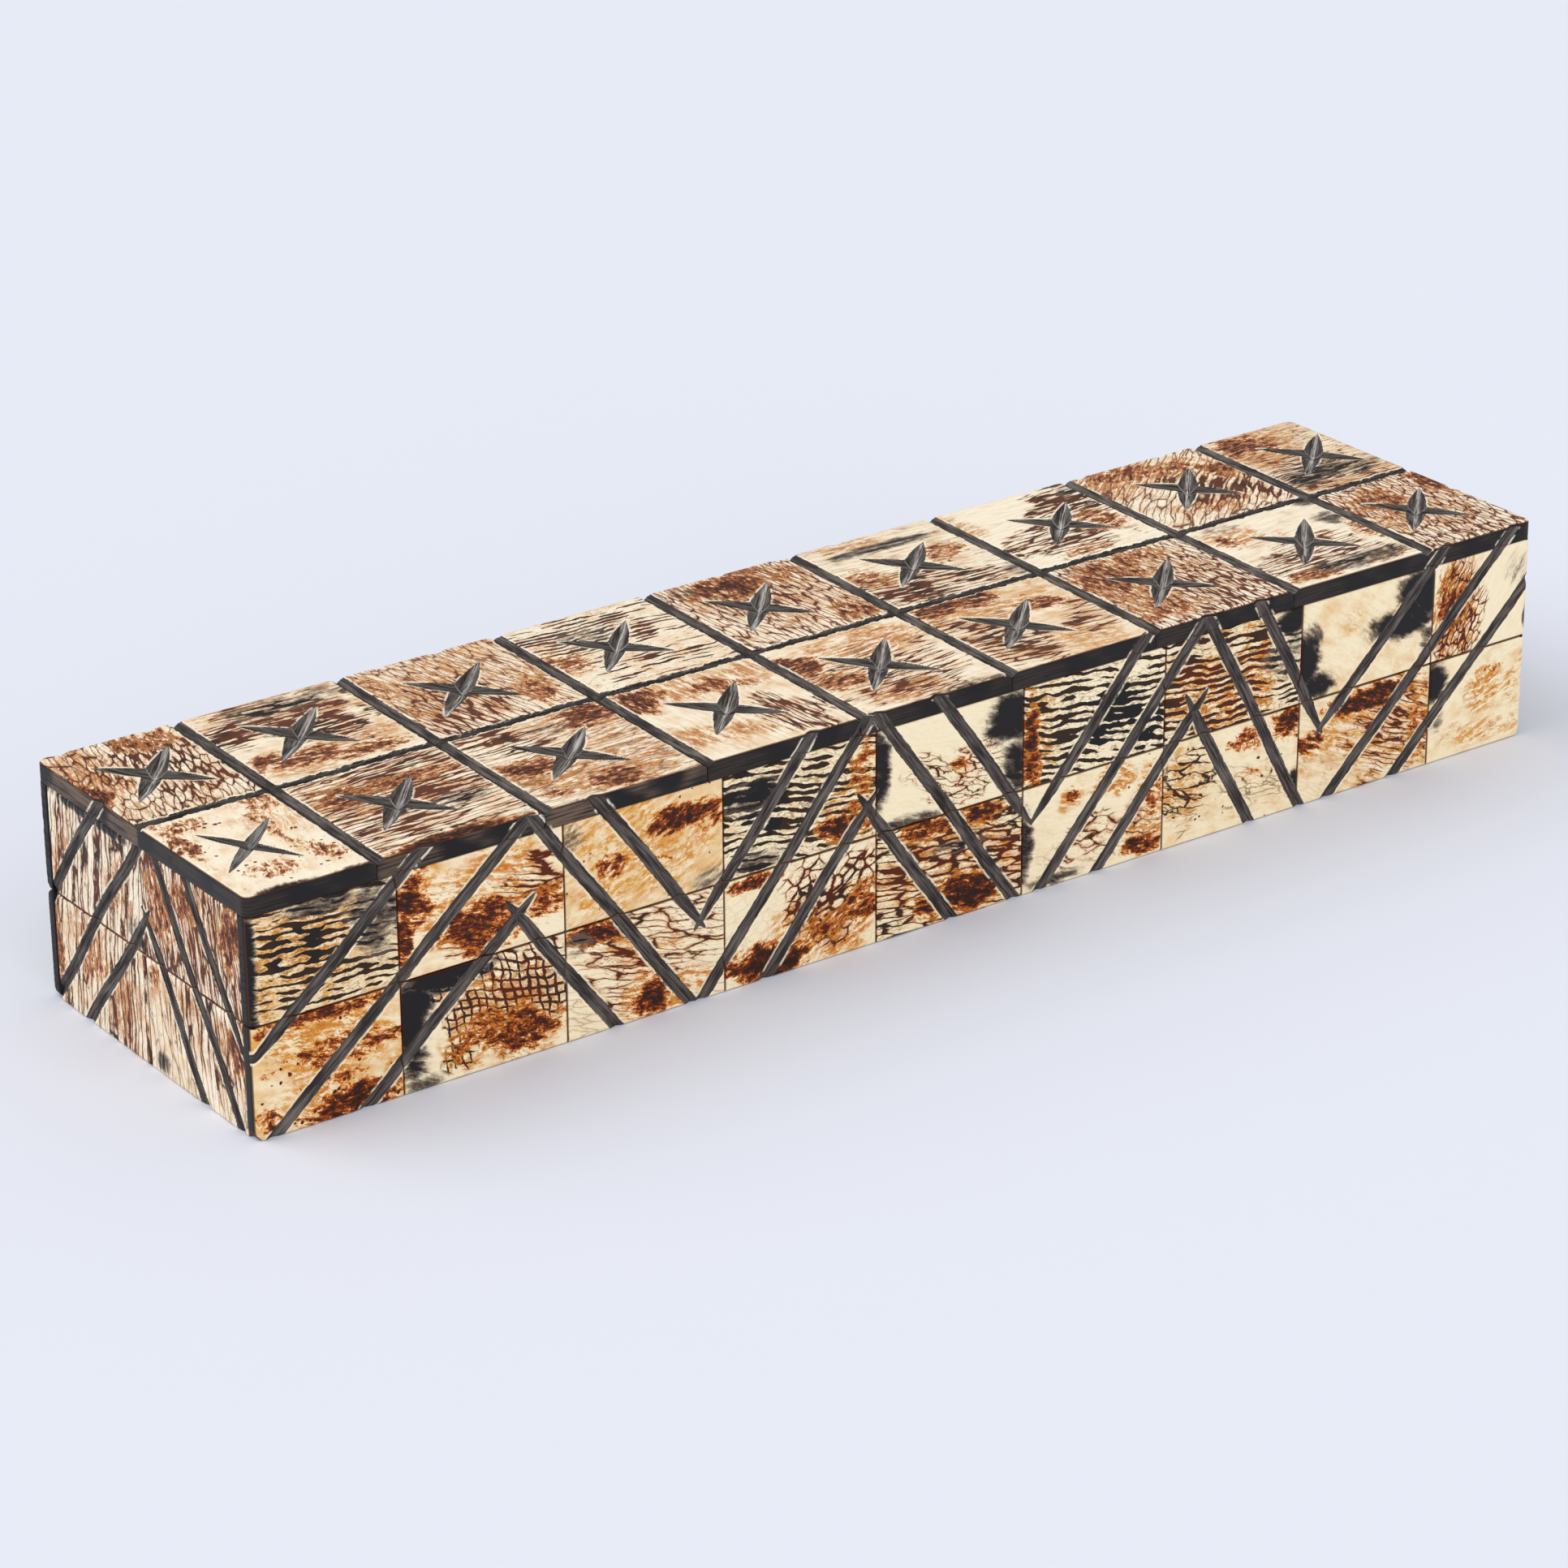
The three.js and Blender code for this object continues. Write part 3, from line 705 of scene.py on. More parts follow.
    # The joints are singed red-brown; the slabs' outer edges are dyed, with streaks of bare horn in some.
    colour = g.mix(g.span(edge, 0.15, 0.5, 0.0, 0.85), colour, RED_BROWN)
    streak = g.noise(g.vector("MULTIPLY", place, (0.1, 0.1, 2.6)), 1.0, 4, 0.65).outputs["Fac"]
    horn_share = g.mul(given["Horn"], g.span(g.noise(place, 0.09, 1).outputs["Fac"], 0.36, 0.5))
    side = g.mix(g.mul(horn_share, g.span(streak, 0.34, 0.62)), DYE, HORN)
    colour = g.mix(g.span(edge, 0.55, 0.85), colour, side)

    # Grooves: grey with pale scratches along them, a painted highlight along the valley of some cuts, painted
    # shade and dirt darkening others, and here and there a cream rim that is partly bare bone and partly a
    # painted highlight.
    run = g.join(g.mul(cut[0], 0.12), g.mul(cut[1], 3.0))
    scratch = g.noise(run, 1.0, 4, 0.7).outputs["Fac"]
    streaky = g.noise(g.vector("MULTIPLY", run, (1.0, 0.3, 1.0)), 1.0, 2, 0.6).outputs["Fac"]
    pale = g.mul(g.span(g.add(g.mul(scratch, 0.6), g.mul(streaky, 0.4)), 0.4, 0.68), 0.8)
    grey = g.mix(pale, GROOVE_DARK, GROOVE_LIGHT)
    # Painted highlight along the valley of the cuts marked for it.
    shine = g.mul(g.span(ridge, 0.0, 0.45, 1.0, 0.0), g.span(scratch, 0.4, 0.6))
    grey = g.mix(shine, grey, RIDGE)
    # Painted shade and dirt: the cuts marked below 0 are painted dark.
    grey = g.mix(g.span(ridge, -1.0, 0.0, 1.0, 0.0, "LINEAR"), grey, GROOVE_DIRT)
    in_groove = g.span(cut[2], -0.03, 0.08)
    colour = g.mix(in_groove, colour, grey)
    # Cream rim along the cuts' edges: partly bare bone, partly a painted highlight.
    rim = g.mul(g.span(cut[2], -0.55, -0.15), g.span(cut[2], 0.0, 0.12, 1.0, 0.0))
    rim = g.mul(rim, g.mul(g.span(patchy, 0.46, 0.56), g.sub(1.0, blackened)))
    colour = g.mix(g.mul(rim, 0.75), colour, cream)

    rough = g.add(0.42, g.mul(g.math("MAXIMUM", line, g.span(blot, 0.3, 0.7)), 0.12))
    rough = g.add(rough, g.mul(in_groove, 0.2))
    height = g.add(g.mul(line, -0.5), g.mul(g.mul(scratch, in_groove), 1.6))
    height = g.add(height, g.mul(fibre, 0.15))
    g.put("NodeGroupOutput", {"Color": colour, "Roughness": rough, "Height": height})
    return tree


BONE = bone_group()


def new_material(name):
    material = bpy.data.materials.new(name)
    material.use_nodes = True
    shader = next(n for n in material.node_tree.nodes if n.type == "BSDF_PRINCIPLED")
    return material, Graph(material.node_tree), shader


def bone_material(name, look):
    material, g, shader = new_material("bone_" + name)
    group = g.put("ShaderNodeGroup", node_tree=BONE)
    seed = look["seed"]
    group.inputs["Shift"].default_value = (37.0 * (seed % 17), 53.0 * (seed % 13), 11.0 * (seed % 7))
    for key in BONE_INPUTS:
        group.inputs[key].default_value = look[key.lower()]
    group.inputs["Angle"].default_value = -math.radians(look["angle"])
    bump = g.put("ShaderNodeBump", {"Height": group.outputs["Height"], "Strength": 0.35, "Distance": 0.0002})
    g.tree.links.new(group.outputs["Color"], shader.inputs["Base Color"])
    g.tree.links.new(group.outputs["Roughness"], shader.inputs["Roughness"])
    g.tree.links.new(bump.outputs[0], shader.inputs["Normal"])
    shader.inputs["IOR"].default_value = 1.4
    shader.inputs["Specular IOR Level"].default_value = 0.3
    return material


def wood_material(name, grain, tone, dark):
    """Stained open-grained board, its grain along the given axis of the box."""
    material, g, shader = new_material(name)
    place = g.put("ShaderNodeTexCoord").outputs["Object"]
    bend = g.noise(place, 14.0, 2).outputs["Color"]
    bent = g.vector("ADD", place, g.vector("MULTIPLY", g.vector("SUBTRACT", bend, (0.5,) * 3), (0.006,) * 3))
    along = [260.0, 260.0, 260.0]
    along[grain] = 9.0
    rings = g.noise(g.vector("MULTIPLY", bent, tuple(c * 0.55 for c in along)), 1.0, 4, 0.6).outputs["Fac"]
    pores = g.noise(g.vector("MULTIPLY", bent, tuple(c * 7 for c in along)), 1.0, 2, 0.5).outputs["Fac"]
    broad = g.noise(place, 22.0, 3).outputs["Fac"]
    colour = g.mix(g.span(rings, 0.35, 0.68), dark, tone)
    colour = g.mix(g.mul(g.span(broad, 0.35, 0.7), 0.35), colour, dark)
    pore = g.span(pores, 0.6, 0.72)
    colour = g.mix(g.mul(pore, 0.7), colour, rgb(30, 16, 10))
    g.tree.links.new(colour, shader.inputs["Base Color"])
    g.tree.links.new(g.add(0.48, g.mul(pore, 0.3)), shader.inputs["Roughness"])
    height = g.sub(g.mul(rings, 0.5), pore)
    bump = g.put("ShaderNodeBump", {"Height": height, "Strength": 0.5, "Distance": 0.0002})
    g.tree.links.new(bump.outputs[0], shader.inputs["Normal"])
    return material


def brass_material():
    material, g, shader = new_material("aged_brass")
    place = g.put("ShaderNodeTexCoord").outputs["Object"]
    tarnish = g.noise(place, 420.0, 4, 0.65).outputs["Fac"]
    brushed = g.noise(g.vector("MULTIPLY", place, (300.0, 4000.0, 4000.0)), 1.0, 3).outputs["Fac"]
    colour = g.mix(g.span(tarnish, 0.4, 0.72), rgb(214, 172, 96), rgb(120, 84, 44))
    g.tree.links.new(colour, shader.inputs["Base Color"])
    g.tree.links.new(g.span(tarnish, 0.3, 0.8, 0.26, 0.55), shader.inputs["Roughness"])
    bump = g.put("ShaderNodeBump", {"Height": brushed, "Strength": 0.15, "Distance": 0.0001})
    g.tree.links.new(bump.outputs[0], shader.inputs["Normal"])
    shader.inputs["Metallic"].default_value = 1.0
    return material


# ---------------------------------------------------------------- each tile's own look
# cell is the crack spacing, stretch how drawn-out the cracks are, line how wide, halo how far dye bleeds, and
# red how red-brown rather than black the lines are. lines is how much is crackled outside the patches.
STYLES = {
    "plain": dict(cell=2.0, stretch=4.5, warp=1.0, line=0.09, lines=0.0, stroke=0.0),
    "streak": dict(cell=1.4, stretch=11.0, warp=0.5, line=0.14, lines=0.6, stroke=0.0),
    "fine": dict(cell=1.2, stretch=12.0, warp=0.4, line=0.13, lines=0.6, stroke=0.0),
    "net": dict(cell=1.5, stretch=2.2, warp=0.7, line=0.12, lines=0.5, stroke=0.0),
    "zebra": dict(cell=1.7, stretch=5.5, warp=0.8, line=0.17, lines=0.7, stroke=1.0),
    "reptile": dict(cell=1.2, stretch=1.8, warp=0.7, line=0.11, lines=0.7, stroke=0.0),
}


PLAIN_LOOK = dict(warmth=0.1, specks=0.0, horn=0.0, red=0.6, halo=1.0, weave=0.0, polish=0.0, dyed_edge=False)


def look(style, angle, patches, **changes):
    return {**PLAIN_LOOK, **STYLES[style], "angle": angle, "patches": patches, **changes}


def placed(style, angle, text, **changes):
    """A look whose patches are written out, with commas between them."""
    patches = [(kind, *map(float, numbers)) for kind, *numbers in map(str.split, text.split(","))]
    return look(style, angle, patches, **changes)


# Patches are kind, across, up, reach across, reach up and strength, across and up from -1 to 1 over the tile;
# b is burnt, s is stained orange, k is dyed black and l is crackled.
LOOKS = {
    "top_front_1": placed("plain", 75,
        "s -.6 .7 .35 .4 .6, b -.85 .4 .16 .8 .45, s .6 .4 .6 .7 .45, b .7 .8 .25 .25 .4, "
        "b .55 -.6 .3 .3 .42, b .35 .2 .14 .6 .35, k -.5 -1.05 .6 .14 .9, k .6 -1.05 .5 .1 .8, "
        "b -.3 -.6 .3 .2 .36, b -.5 .75 .4 .15 .36", specks=0.45),
    "top_back_1": placed("streak", 76,
        "l .4 .1 .9 1.2 1, l -.6 .4 .5 .7 .5, s -.7 .3 .5 .9 .9, b -1 -.1 .3 .25 .7, b .5 .8 .5 .3 .45, "
        "s .4 -.6 .5 .4 .5", cell=1.35, stretch=4.5, lines=0.3, line=0.12),
    "top_front_2": placed("fine", 2,
        "b -.6 .35 .35 .3 .55, s -.1 .1 1 .6 .8, l 0 .2 1.1 .9 1, k .45 -.25 .45 .2 .42, "
        "b -.1 -.95 .8 .12 .8, b .3 .45 .6 .12 .45", lines=0.3, red=0.6, cell=1.25, line=0.16),
    "top_back_2": placed("streak", -2,
        "k .2 .75 1.1 .3 .4, l .1 .45 1.2 .7 1, s .1 .7 1.1 .5 .8, b -.35 -.5 .55 .3 .55, "
        "b .45 -.75 .5 .15 .5, s 0 -.6 1 .4 .9", cell=1.25, lines=0.1, line=0.16, red=0.5),
    "top_front_3": placed("streak", 2,
        "b -.65 -.1 .4 .25 .56, b .6 .7 .5 .35 .6, b 0 -.75 .6 .25 .56, s .1 -.5 1.1 .6 .9, "
        "s .6 .5 .6 .6 .6, l -.4 .6 .7 .5 .7, k .15 .6 .4 .2 .35", lines=0.2),
    "top_back_3": placed("fine", 100,
        "s 0 .3 1.2 1.1 .7, b .7 -.5 .22 .5 .52, l -.3 -.5 .9 .8 .9, b -.8 .3 .2 .6 .35",
        cell=1.3, stretch=6.0, lines=0.25, warmth=0.1, red=0.75),
    "top_front_4": placed("fine", 96,
        "b -.75 .7 .35 .3 .6, s .1 .6 .9 .4 1, s -.5 -.45 .9 .3 .9, l .3 -.55 .6 .6 .8, "
        "b .25 .55 .4 .25 .42, k 1 -.1 .16 .4 .5", lines=0.1, red=0.7),
    "top_back_4": placed("zebra", -3,
        "k -.2 .35 .5 .35 .42, l 0 .5 1.1 .5 1, l .1 -.6 1 .4 .35, s -.7 -.1 .4 .4 .8, "
        "b -.75 -.1 .25 .25 .42, s .2 -1 1 .14 .9", cell=1.5, lines=0.25, line=0.13, red=0.55, stretch=4.0),
    "top_back_5": placed("fine", 94,
        "b 0 .7 .6 .32 .66, s .1 .3 1.1 1 .6, l .1 .5 1 .7 1, b .7 -.6 .25 .3 .5, k -.6 .8 .3 .2 .3",
        cell=1.2, stretch=6.0, lines=0.3, warmth=0.05, red=0.8),
    "top_front_5": placed("streak", 4,
        "b -.8 .5 .3 .35 .6, b -.6 -.1 .4 .2 .5, s .3 .6 .8 .4 .9, s -.3 -.7 .8 .3 1, l -.1 -.2 1 .8 .6, "
        "k 1 -.2 .12 .5 .5, k .5 -1 .6 .1 .5", lines=0.1, cell=1.3),
    "top_back_6": placed("fine", -4,
        "k .1 .62 1.2 .13 .62, l -.1 -.55 1 .5 .9, b -.6 0 .3 .3 .45, b .5 .15 .3 .2 .4, "
        "k .95 -.8 .25 .3 .4, s -.3 .85 .8 .15 .6", cell=1.25, lines=0.15, red=0.55, line=0.15),
    "top_front_6": placed("streak", -6,
        "b -.4 .85 .7 .25 .6, b .6 .3 .35 .25 .5, s -.1 .6 1.1 .5 .8, s .2 -.7 .9 .4 .7, "
        "l -.6 -.2 .6 .7 .9, l .7 -.2 .4 .5 .4", lines=0.1, warmth=0.2),
    "top_back_7": placed("streak", 4,
        "l -.1 -.3 1 .6 .7, b .55 -.2 .3 .35 .45, b -.1 -.75 .35 .2 .42, s -.85 .6 .2 .5 .6, "
        "l .6 .6 .5 .5 1, k .85 .75 .25 .25 .35", cell=1.35, lines=0.1, red=0.55, warmth=-0.1, line=0.15),
    "top_front_7": placed("fine", 94,
        "b -.6 .4 .55 .6 .52, s -.2 .1 1.2 1 .7, b .2 .7 .5 .25 .42, b -.6 -.5 .4 .3 .4, l .5 -.4 .7 .8 .8",
        cell=1.1, stretch=4.5, red=0.85, lines=0.4, warmth=-0.05),
    "top_back_8": placed("streak", 42,
        "b -.5 .75 .6 .25 .5, s -.4 .6 .7 .5 .9, l .5 0 .6 .9 1, s .2 -.6 .7 .4 1, b .8 .3 .25 .4 .5, "
        "b .3 .6 .5 .3 .4", lines=0.25, cell=1.5, red=0.65),
    "top_front_8": placed("fine", 4,
        "b -.75 .5 .25 .35 .5, s -.5 .5 .5 .4 .7, k .75 .4 .3 .25 .6, k .85 .9 .25 .2 .6, "
        "k .3 -.75 .9 .25 .5, b -.5 -.8 .5 .15 .5, b .85 -.1 .2 .4 .4, l -.1 -.4 .9 .5 .8, "
        "b .5 -.8 .4 .15 .45, k -.5 .8 .5 .2 .3", lines=0.1, warmth=0.0, red=0.65),
    "top_back_9": placed("streak", -2,
        "b -.3 .6 .7 .45 .56, s -.2 .5 1 .6 .9, k -.1 -.5 1.3 .35 .5, l 0 -.5 1.3 .7 .9, s .1 -.7 1.1 .4 .6",
        cell=1.0, stretch=10.0, lines=0.2, line=0.1, warmth=0.2),
    "top_front_9": placed("fine", 88,
        "b -.3 .5 .5 .4 .46, b .85 .6 .2 .5 .58, s 0 .2 1.2 1 .7, b -.6 -.1 .3 .3 .4",
        cell=1.2, stretch=3.5, red=0.8, lines=0.5, warmth=0.0),
    "front_lid_1": placed("zebra", -4,
        "k -1.05 0 .2 2.2 1, l -.2 .3 .7 .8 1.2, l .1 -.6 1.1 .4 .9, k .75 .3 .5 .9 .62, k 0 .9 .9 .25 .6, "
        "s -.3 .2 .9 .9 1", cell=1.5, stretch=2.4, red=-0.3, lines=0.4, warmth=0.2),
    "front_lid_2": placed("streak", -12,
        "b -.85 .55 .3 .45 .75, b -.1 -.4 .55 .45 .6, s -.1 .1 1.2 1 .9, b -.95 -.2 .1 .8 .7, "
        "l .6 0 .5 .5 .9, l -.1 -.5 .7 .5 1, b .7 -.3 .3 .25 .45",
        lines=0.0, warmth=0.1, line=0.16, red=0.9),
    "front_lid_3": placed("plain", 20,
        "s 0 .1 1.2 1.1 .6, b .45 .45 .55 .28 .66, b -.45 0 .25 .3 .45, b .9 .3 .15 .2 .4, "
        "k -.95 .7 .25 .4 .4, k .9 -.85 .4 .25 .42, b .3 -.2 .3 .14 .34", warmth=0.25, specks=0.3),
    "front_lid_4": placed("zebra", -8,
        "l -.6 .45 .8 .7 1.9, l .2 -.1 1.2 1.1 1, b .45 -.6 .3 .22 .72, b .8 0 .2 .8 .42, "
        "s .7 -.3 .5 .8 .8, k -.6 -.8 .5 .25 .45, k -.7 .5 .5 .4 .5", cell=1.6, stretch=4.0, red=0.1),
    "front_lid_5": placed("plain", -18,
        "k -1 .2 .2 1.1 .85, k .85 .45 .5 .6 1, k .9 -.5 .3 .8 .8, k -.6 -.95 .6 .2 .6, "
        "b .1 -.1 .14 .2 .55, s .1 -.1 .3 .35 .7, l .1 -.3 .6 .6 .5", warmth=-0.1, red=0.5, cell=1.3),
    "front_lid_6": placed("zebra", -8,
        "b -.9 0 .14 1.3 .66, l .4 0 .8 .55 2.3, l .75 -.5 .4 .5 1.9, l 0 0 1.5 1.5 1, s -.75 0 .3 1.2 .9",
        cell=1.7, stretch=3.4, red=0.0, warmth=-0.1),
    "front_lid_7": placed("zebra", -4,
        "k .85 .75 .35 .35 1, s 0 0 1.3 1.3 .9, l 0 0 1.5 1.5 .95, k .75 .1 .4 .5 .42",
        cell=1.5, stretch=4.0, red=0.25),
    "front_lid_8": placed("plain", -35,
        "k -.95 -.2 .3 .8 1, k -.75 -.75 .3 .3 .9, k .5 .05 .65 .4 1, k .8 .5 .45 .7 1, "
        "k .95 -.45 .2 .4 .6, s -.3 .3 .3 .3 .3", warmth=0.1),
    "front_lid_9": placed("net", 60,
        "l -.6 0 .5 1.2 1, b -.65 .1 .32 .7 .52, s -.55 0 .5 1.1 1, k .75 .4 .4 .5 .3, k 1 -.6 .12 .4 .6",
        lines=0.0, red=0.95, cell=1.2, warmth=-0.1),
    "front_base_1": placed("plain", -12,
        "b -.1 .9 .9 .16 .6, b .3 -.8 .6 .25 .72, s .1 .1 1.2 1.1 .85, b .2 .25 .8 .25 .42, "
        "b .75 .2 .4 .12 .5, b -.8 -.7 .2 .3 .5, b .1 -.3 .6 .14 .4", warmth=0.2, specks=0.5),
    "front_base_2": placed("net", -14,
        "k -.9 .2 .3 1.1 1, k -.45 .95 .7 .35 1, l .35 0 .9 1 1, b .5 -.5 .55 .4 .6, s .35 -.1 .85 .9 1, "
        "b 0 -.3 .5 .4 .45, k -.75 -.9 .3 .2 .5",
        lines=0.0, cell=1.75, red=0.35, warmth=0.0, weave=1.0, warp=1.0),
    "front_base_3": placed("streak", -14,
        "l 0 .2 1.2 .9 .5, b -.5 .8 .5 .22 .66, b .1 -.6 .3 .45 .7, s -.1 .3 .9 .4 .5, s .1 -.6 .6 .5 .8, "
        "k -.85 .7 .25 .25 .4", lines=0.15, stretch=7.0, cell=1.6, line=0.1, warmth=-0.05, red=0.55),
    "front_base_4": placed("net", 20,
        "b -.5 -.7 .6 .4 .8, b -.7 .85 .35 .16 .66, s .2 -.3 .9 .7 .9, l .45 .1 .7 .8 1.1, "
        "b .3 -.3 .5 .25 .4, b .8 -.1 .25 .4 .5",
        cell=2.0, stretch=1.5, lines=0.1, line=0.13, red=0.55, warmth=-0.05),
    "front_base_5": placed("streak", -8,
        "b -.4 .85 .6 .22 .6, b .1 -.6 .8 .35 .8, b .5 .85 .4 .16 .75, s 0 0 1.2 1 .6, "
        "l -.1 .25 1.2 .7 .9, k .1 .35 .5 .15 .4", line=0.13, warmth=0.05, red=0.4, stretch=6.0),
    "front_base_6": placed("plain", -14,
        "k -1 -.1 .16 .9 .7, k -.6 -.85 .5 .2 .6, s -.35 .6 .25 .3 1, b -.3 .6 .08 .16 .5, "
        "s .3 .7 .3 .3 1, b .85 .1 .2 .5 .5, b .7 -.75 .3 .2 .62, s .7 -.2 .4 .7 .8, l .1 -.3 .7 .5 .4",
        warmth=0.0, specks=0.3),
    "front_base_7": placed("plain", -12,
        "s -.75 .1 .35 1.2 .75, b .85 .75 .25 .35 .75, b .25 .65 .25 .2 .46, l -.6 .2 .5 1 .45, "
        "b .3 0 .3 .12 .42, k .95 -.5 .14 .4 .8, l .2 -.3 .6 .6 .2",
        cell=2.0, line=0.12, warmth=0.1, specks=0.4, red=0.1),
    "front_base_8": placed("streak", -22,
        "b -.1 .75 .75 .26 .7, s .1 .1 1.2 1.1 .65, b .8 -.1 .22 .7 .4, l .5 -.1 .8 .9 .9, "
        "b -.85 .2 .25 .2 .5", lines=0.1, warmth=0.1, red=0.95, line=0.08),
    "front_base_9": placed("plain", 12,
        "k -.95 .6 .35 .55 .9, k -.85 0 .2 .6 .4, s .3 .3 .6 .6 .8, s .2 -.6 .9 .3 .6, b .35 .55 .3 .1 .34",
        warmth=0.05),
    "left_lid_back": placed("streak", 84,
        "k 0 .95 1.3 .14 .75, l 0 0 1.3 1.3 .75, s -.8 0 .25 .9 .8, s .5 0 .4 .6 .8, k .85 -.7 .3 .4 .4, "
        "b .45 .1 .2 .5 .4", cell=1.9, stretch=20.0, line=0.075, red=0.5, warmth=-0.05),
    "left_lid_front": placed("streak", 98,
        "l 0 0 1.4 1.4 .75, s 0 0 1.3 1.2 .65, b -.1 .55 .5 .4 .55, b -.6 0 .3 .6 .5, b .85 .5 .2 .6 .6",
        cell=1.1, stretch=12.0, red=0.9, warmth=0.0),
    "left_base_back": placed("streak", 88,
        "l 0 0 1.4 1.4 .7, s -.4 .6 .5 .5 .7, b -.1 .2 .25 .4 .4, s .5 -.2 .4 .7 .8, b -.95 0 .1 1 .45",
        cell=1.9, stretch=24.0, line=0.075, red=0.55),
    "left_base_front": placed("streak", 94,
        "l .2 .3 .8 .9 .8, k -.75 -.75 .22 .25 .5, s .8 .2 .4 .8 1, b .9 .5 .2 .4 .6, "
        "b -.85 .7 .2 .25 .55, s -.5 .6 .6 .4 .6", cell=2.1, stretch=9.0, line=0.09, lines=0.2, red=0.5),
}
# Kinds of patch on the unseen tiles: the most there are of each, their largest reach and their strength.
DEALT_PATCHES = {"s": (3, 1.2, 0.9), "b": (3, 0.55, 0.65), "k": (2, 0.4, 0.9), "l": (2, 1.2, 1.0)}


def dealt_look(seed):
    """A look for a tile on an unseen side, dealt out by its seed."""
    deal = np.random.RandomState(seed)
    style = list(STYLES)[deal.randint(len(STYLES))]
    patches = []
    for kind, (most, reach, strength) in DEALT_PATCHES.items():
        for _ in range(deal.randint(most + 1)):
            across, up = deal.uniform(-1.1, 1.1, 2)
            reach_across, reach_up = deal.uniform(0.4, 1.0, 2) * reach
            patches.append((kind, across, up, reach_across, reach_up, strength * deal.uniform(0.75, 1.0)))
    angle = deal.uniform(-25, 25)
    return look(style, angle, patches, red=deal.uniform(0.1, 0.9), warmth=deal.uniform(-0.1, 0.25))


def look_of(key):
    seed = 1 + sum(ord(letter) * (k + 3) for k, letter in enumerate(key)) % 997
    return dict(LOOKS[key] if key in LOOKS else dealt_look(seed), seed=seed)


# ---------------------------------------------------------------- the tiles
def column_joint(column):
    return (column - COLUMNS / 2) * SLAB_PITCH


def side_joint(column):
    return (column - COLUMNS / 2) * TILE_PITCH + TILE_OFFSET


def star(centre, seed, slim):
    """Two crossing canoe-shaped cuts, each a little off true as handwork is."""
    cuts = []
    style = dict(STAR_CUT, half=SLIM_STAR_HALF, depth=SLIM_STAR_DEPTH) if slim else STAR_CUT
    for number, slant in enumerate(SLIM_STAR_ANGLES if slim else STAR_ANGLES):
        angle = math.radians(slant + 3.0 * math.sin(seed * 1.9 + number))
        reach = STAR_REACH[number] * (1 + 0.04 * math.sin(seed * 0.7 + number))
        ray = np.array([math.cos(angle), math.sin(angle)]) * reach
        # Painted light and shade per arm: on the wide stars one arm gets a painted highlight and the other
        # painted shade; the slim star's arms are both painted dark.
        shine = (SLIM_STAR_SHINE if slim else STAR_SHINE)[number]
        cuts.append(line_cut(centre - ray, centre + ray, style, seed=seed + number, canoe=True, shine=shine))
    return cuts


# How far each star was set off its slab's middle, towards +X.
STAR_SHIFTS = {
    "front": (-1.4, -2.2, -0.6, -0.8, -0.3, -2.3, -1.0, 0.9, -0.4),
    "back": (-0.2, -1.2, -0.8, -1.0, -2.6, -0.2, 2.3, 0.6, 3.3),
}
HORN_BANDS = {2: 0.6, 3: 0.9}


def make_slabs():
    reach = WIDTH / 2 + OVERRUN
    lean_at = COLUMN_LEAN / WIDTH * reach
    for row in ("front", "back"):
        for column in range(COLUMNS):
            first, last = column == 0, column == COLUMNS - 1
            u0 = -LENGTH / 2 if first else column_joint(column) + TILE_JOINT / 2
            u1 = LENGTH / 2 if last else column_joint(column + 1) - TILE_JOINT / 2
            v0, v1 = (-WIDTH / 2, -TILE_JOINT / 2) if row == "front" else (TILE_JOINT / 2, WIDTH / 2)
            # The centre cut is painted dark, for painted shade and dirt in it.
            cuts = [line_cut((-LENGTH, 0), (LENGTH, 0), CENTRE_CUT, seed=5, wander=0.15, shine=-0.9)]
            for joint in range(1, COLUMNS):
                if joint in (column, column + 1):
                    middle = column_joint(joint)
                    start, end = (middle - lean_at, -reach), (middle + lean_at, reach)
                    cuts.append(line_cut(start, end, COLUMN_CUT, seed=20 + joint))
            key = f"top_{row}_{column + 1}"
            made = look_of(key)
            # The slabs get the painted sheen, standing in for the pale reflection on the top.
            made.update(dyed_edge=True, polish=1.0)
            made["horn"] = HORN_BANDS.get(column + 1, 0.15) if row == "front" else 0.9
            across = (v0 + v1) / 2
            middle_u = (u0 + u1) / 2 + COLUMN_LEAN * across / WIDTH
            centre = np.array([middle_u + STAR_SHIFTS[row][column], across])
            cuts += star(centre, 60 + column + (30 if row == "back" else 0), first and row == "front")
            outer_v = -1 if row == "front" else 1
            corners = [(side, outer_v, 1.6) for side, at_end in ((-1, first), (1, last)) if at_end]
            rounds = [EDGE_ROUND if first else 0.05, EDGE_ROUND if last else 0.05, 0.05, 0.05]
            rounds[2 if row == "front" else 3] = EDGE_ROUND
            band = [row] + (["left"] if first else []) + (["right"] if last else [])
            node = f"top_slab_{row}_{column + 1}"
            piece = build_tile("slab_" + key[4:], "top", (u0, u1, v0, v1), SLAB_BOTTOM - HEIGHT, cuts,
                               rounds, made, corners, band, COLUMN_LEAN)
            finish_tile(piece, "lid", "bone_slab", node)


def finish_tile(piece, body, slot, *nodes):
    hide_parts(*nodes)
    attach(piece, body)


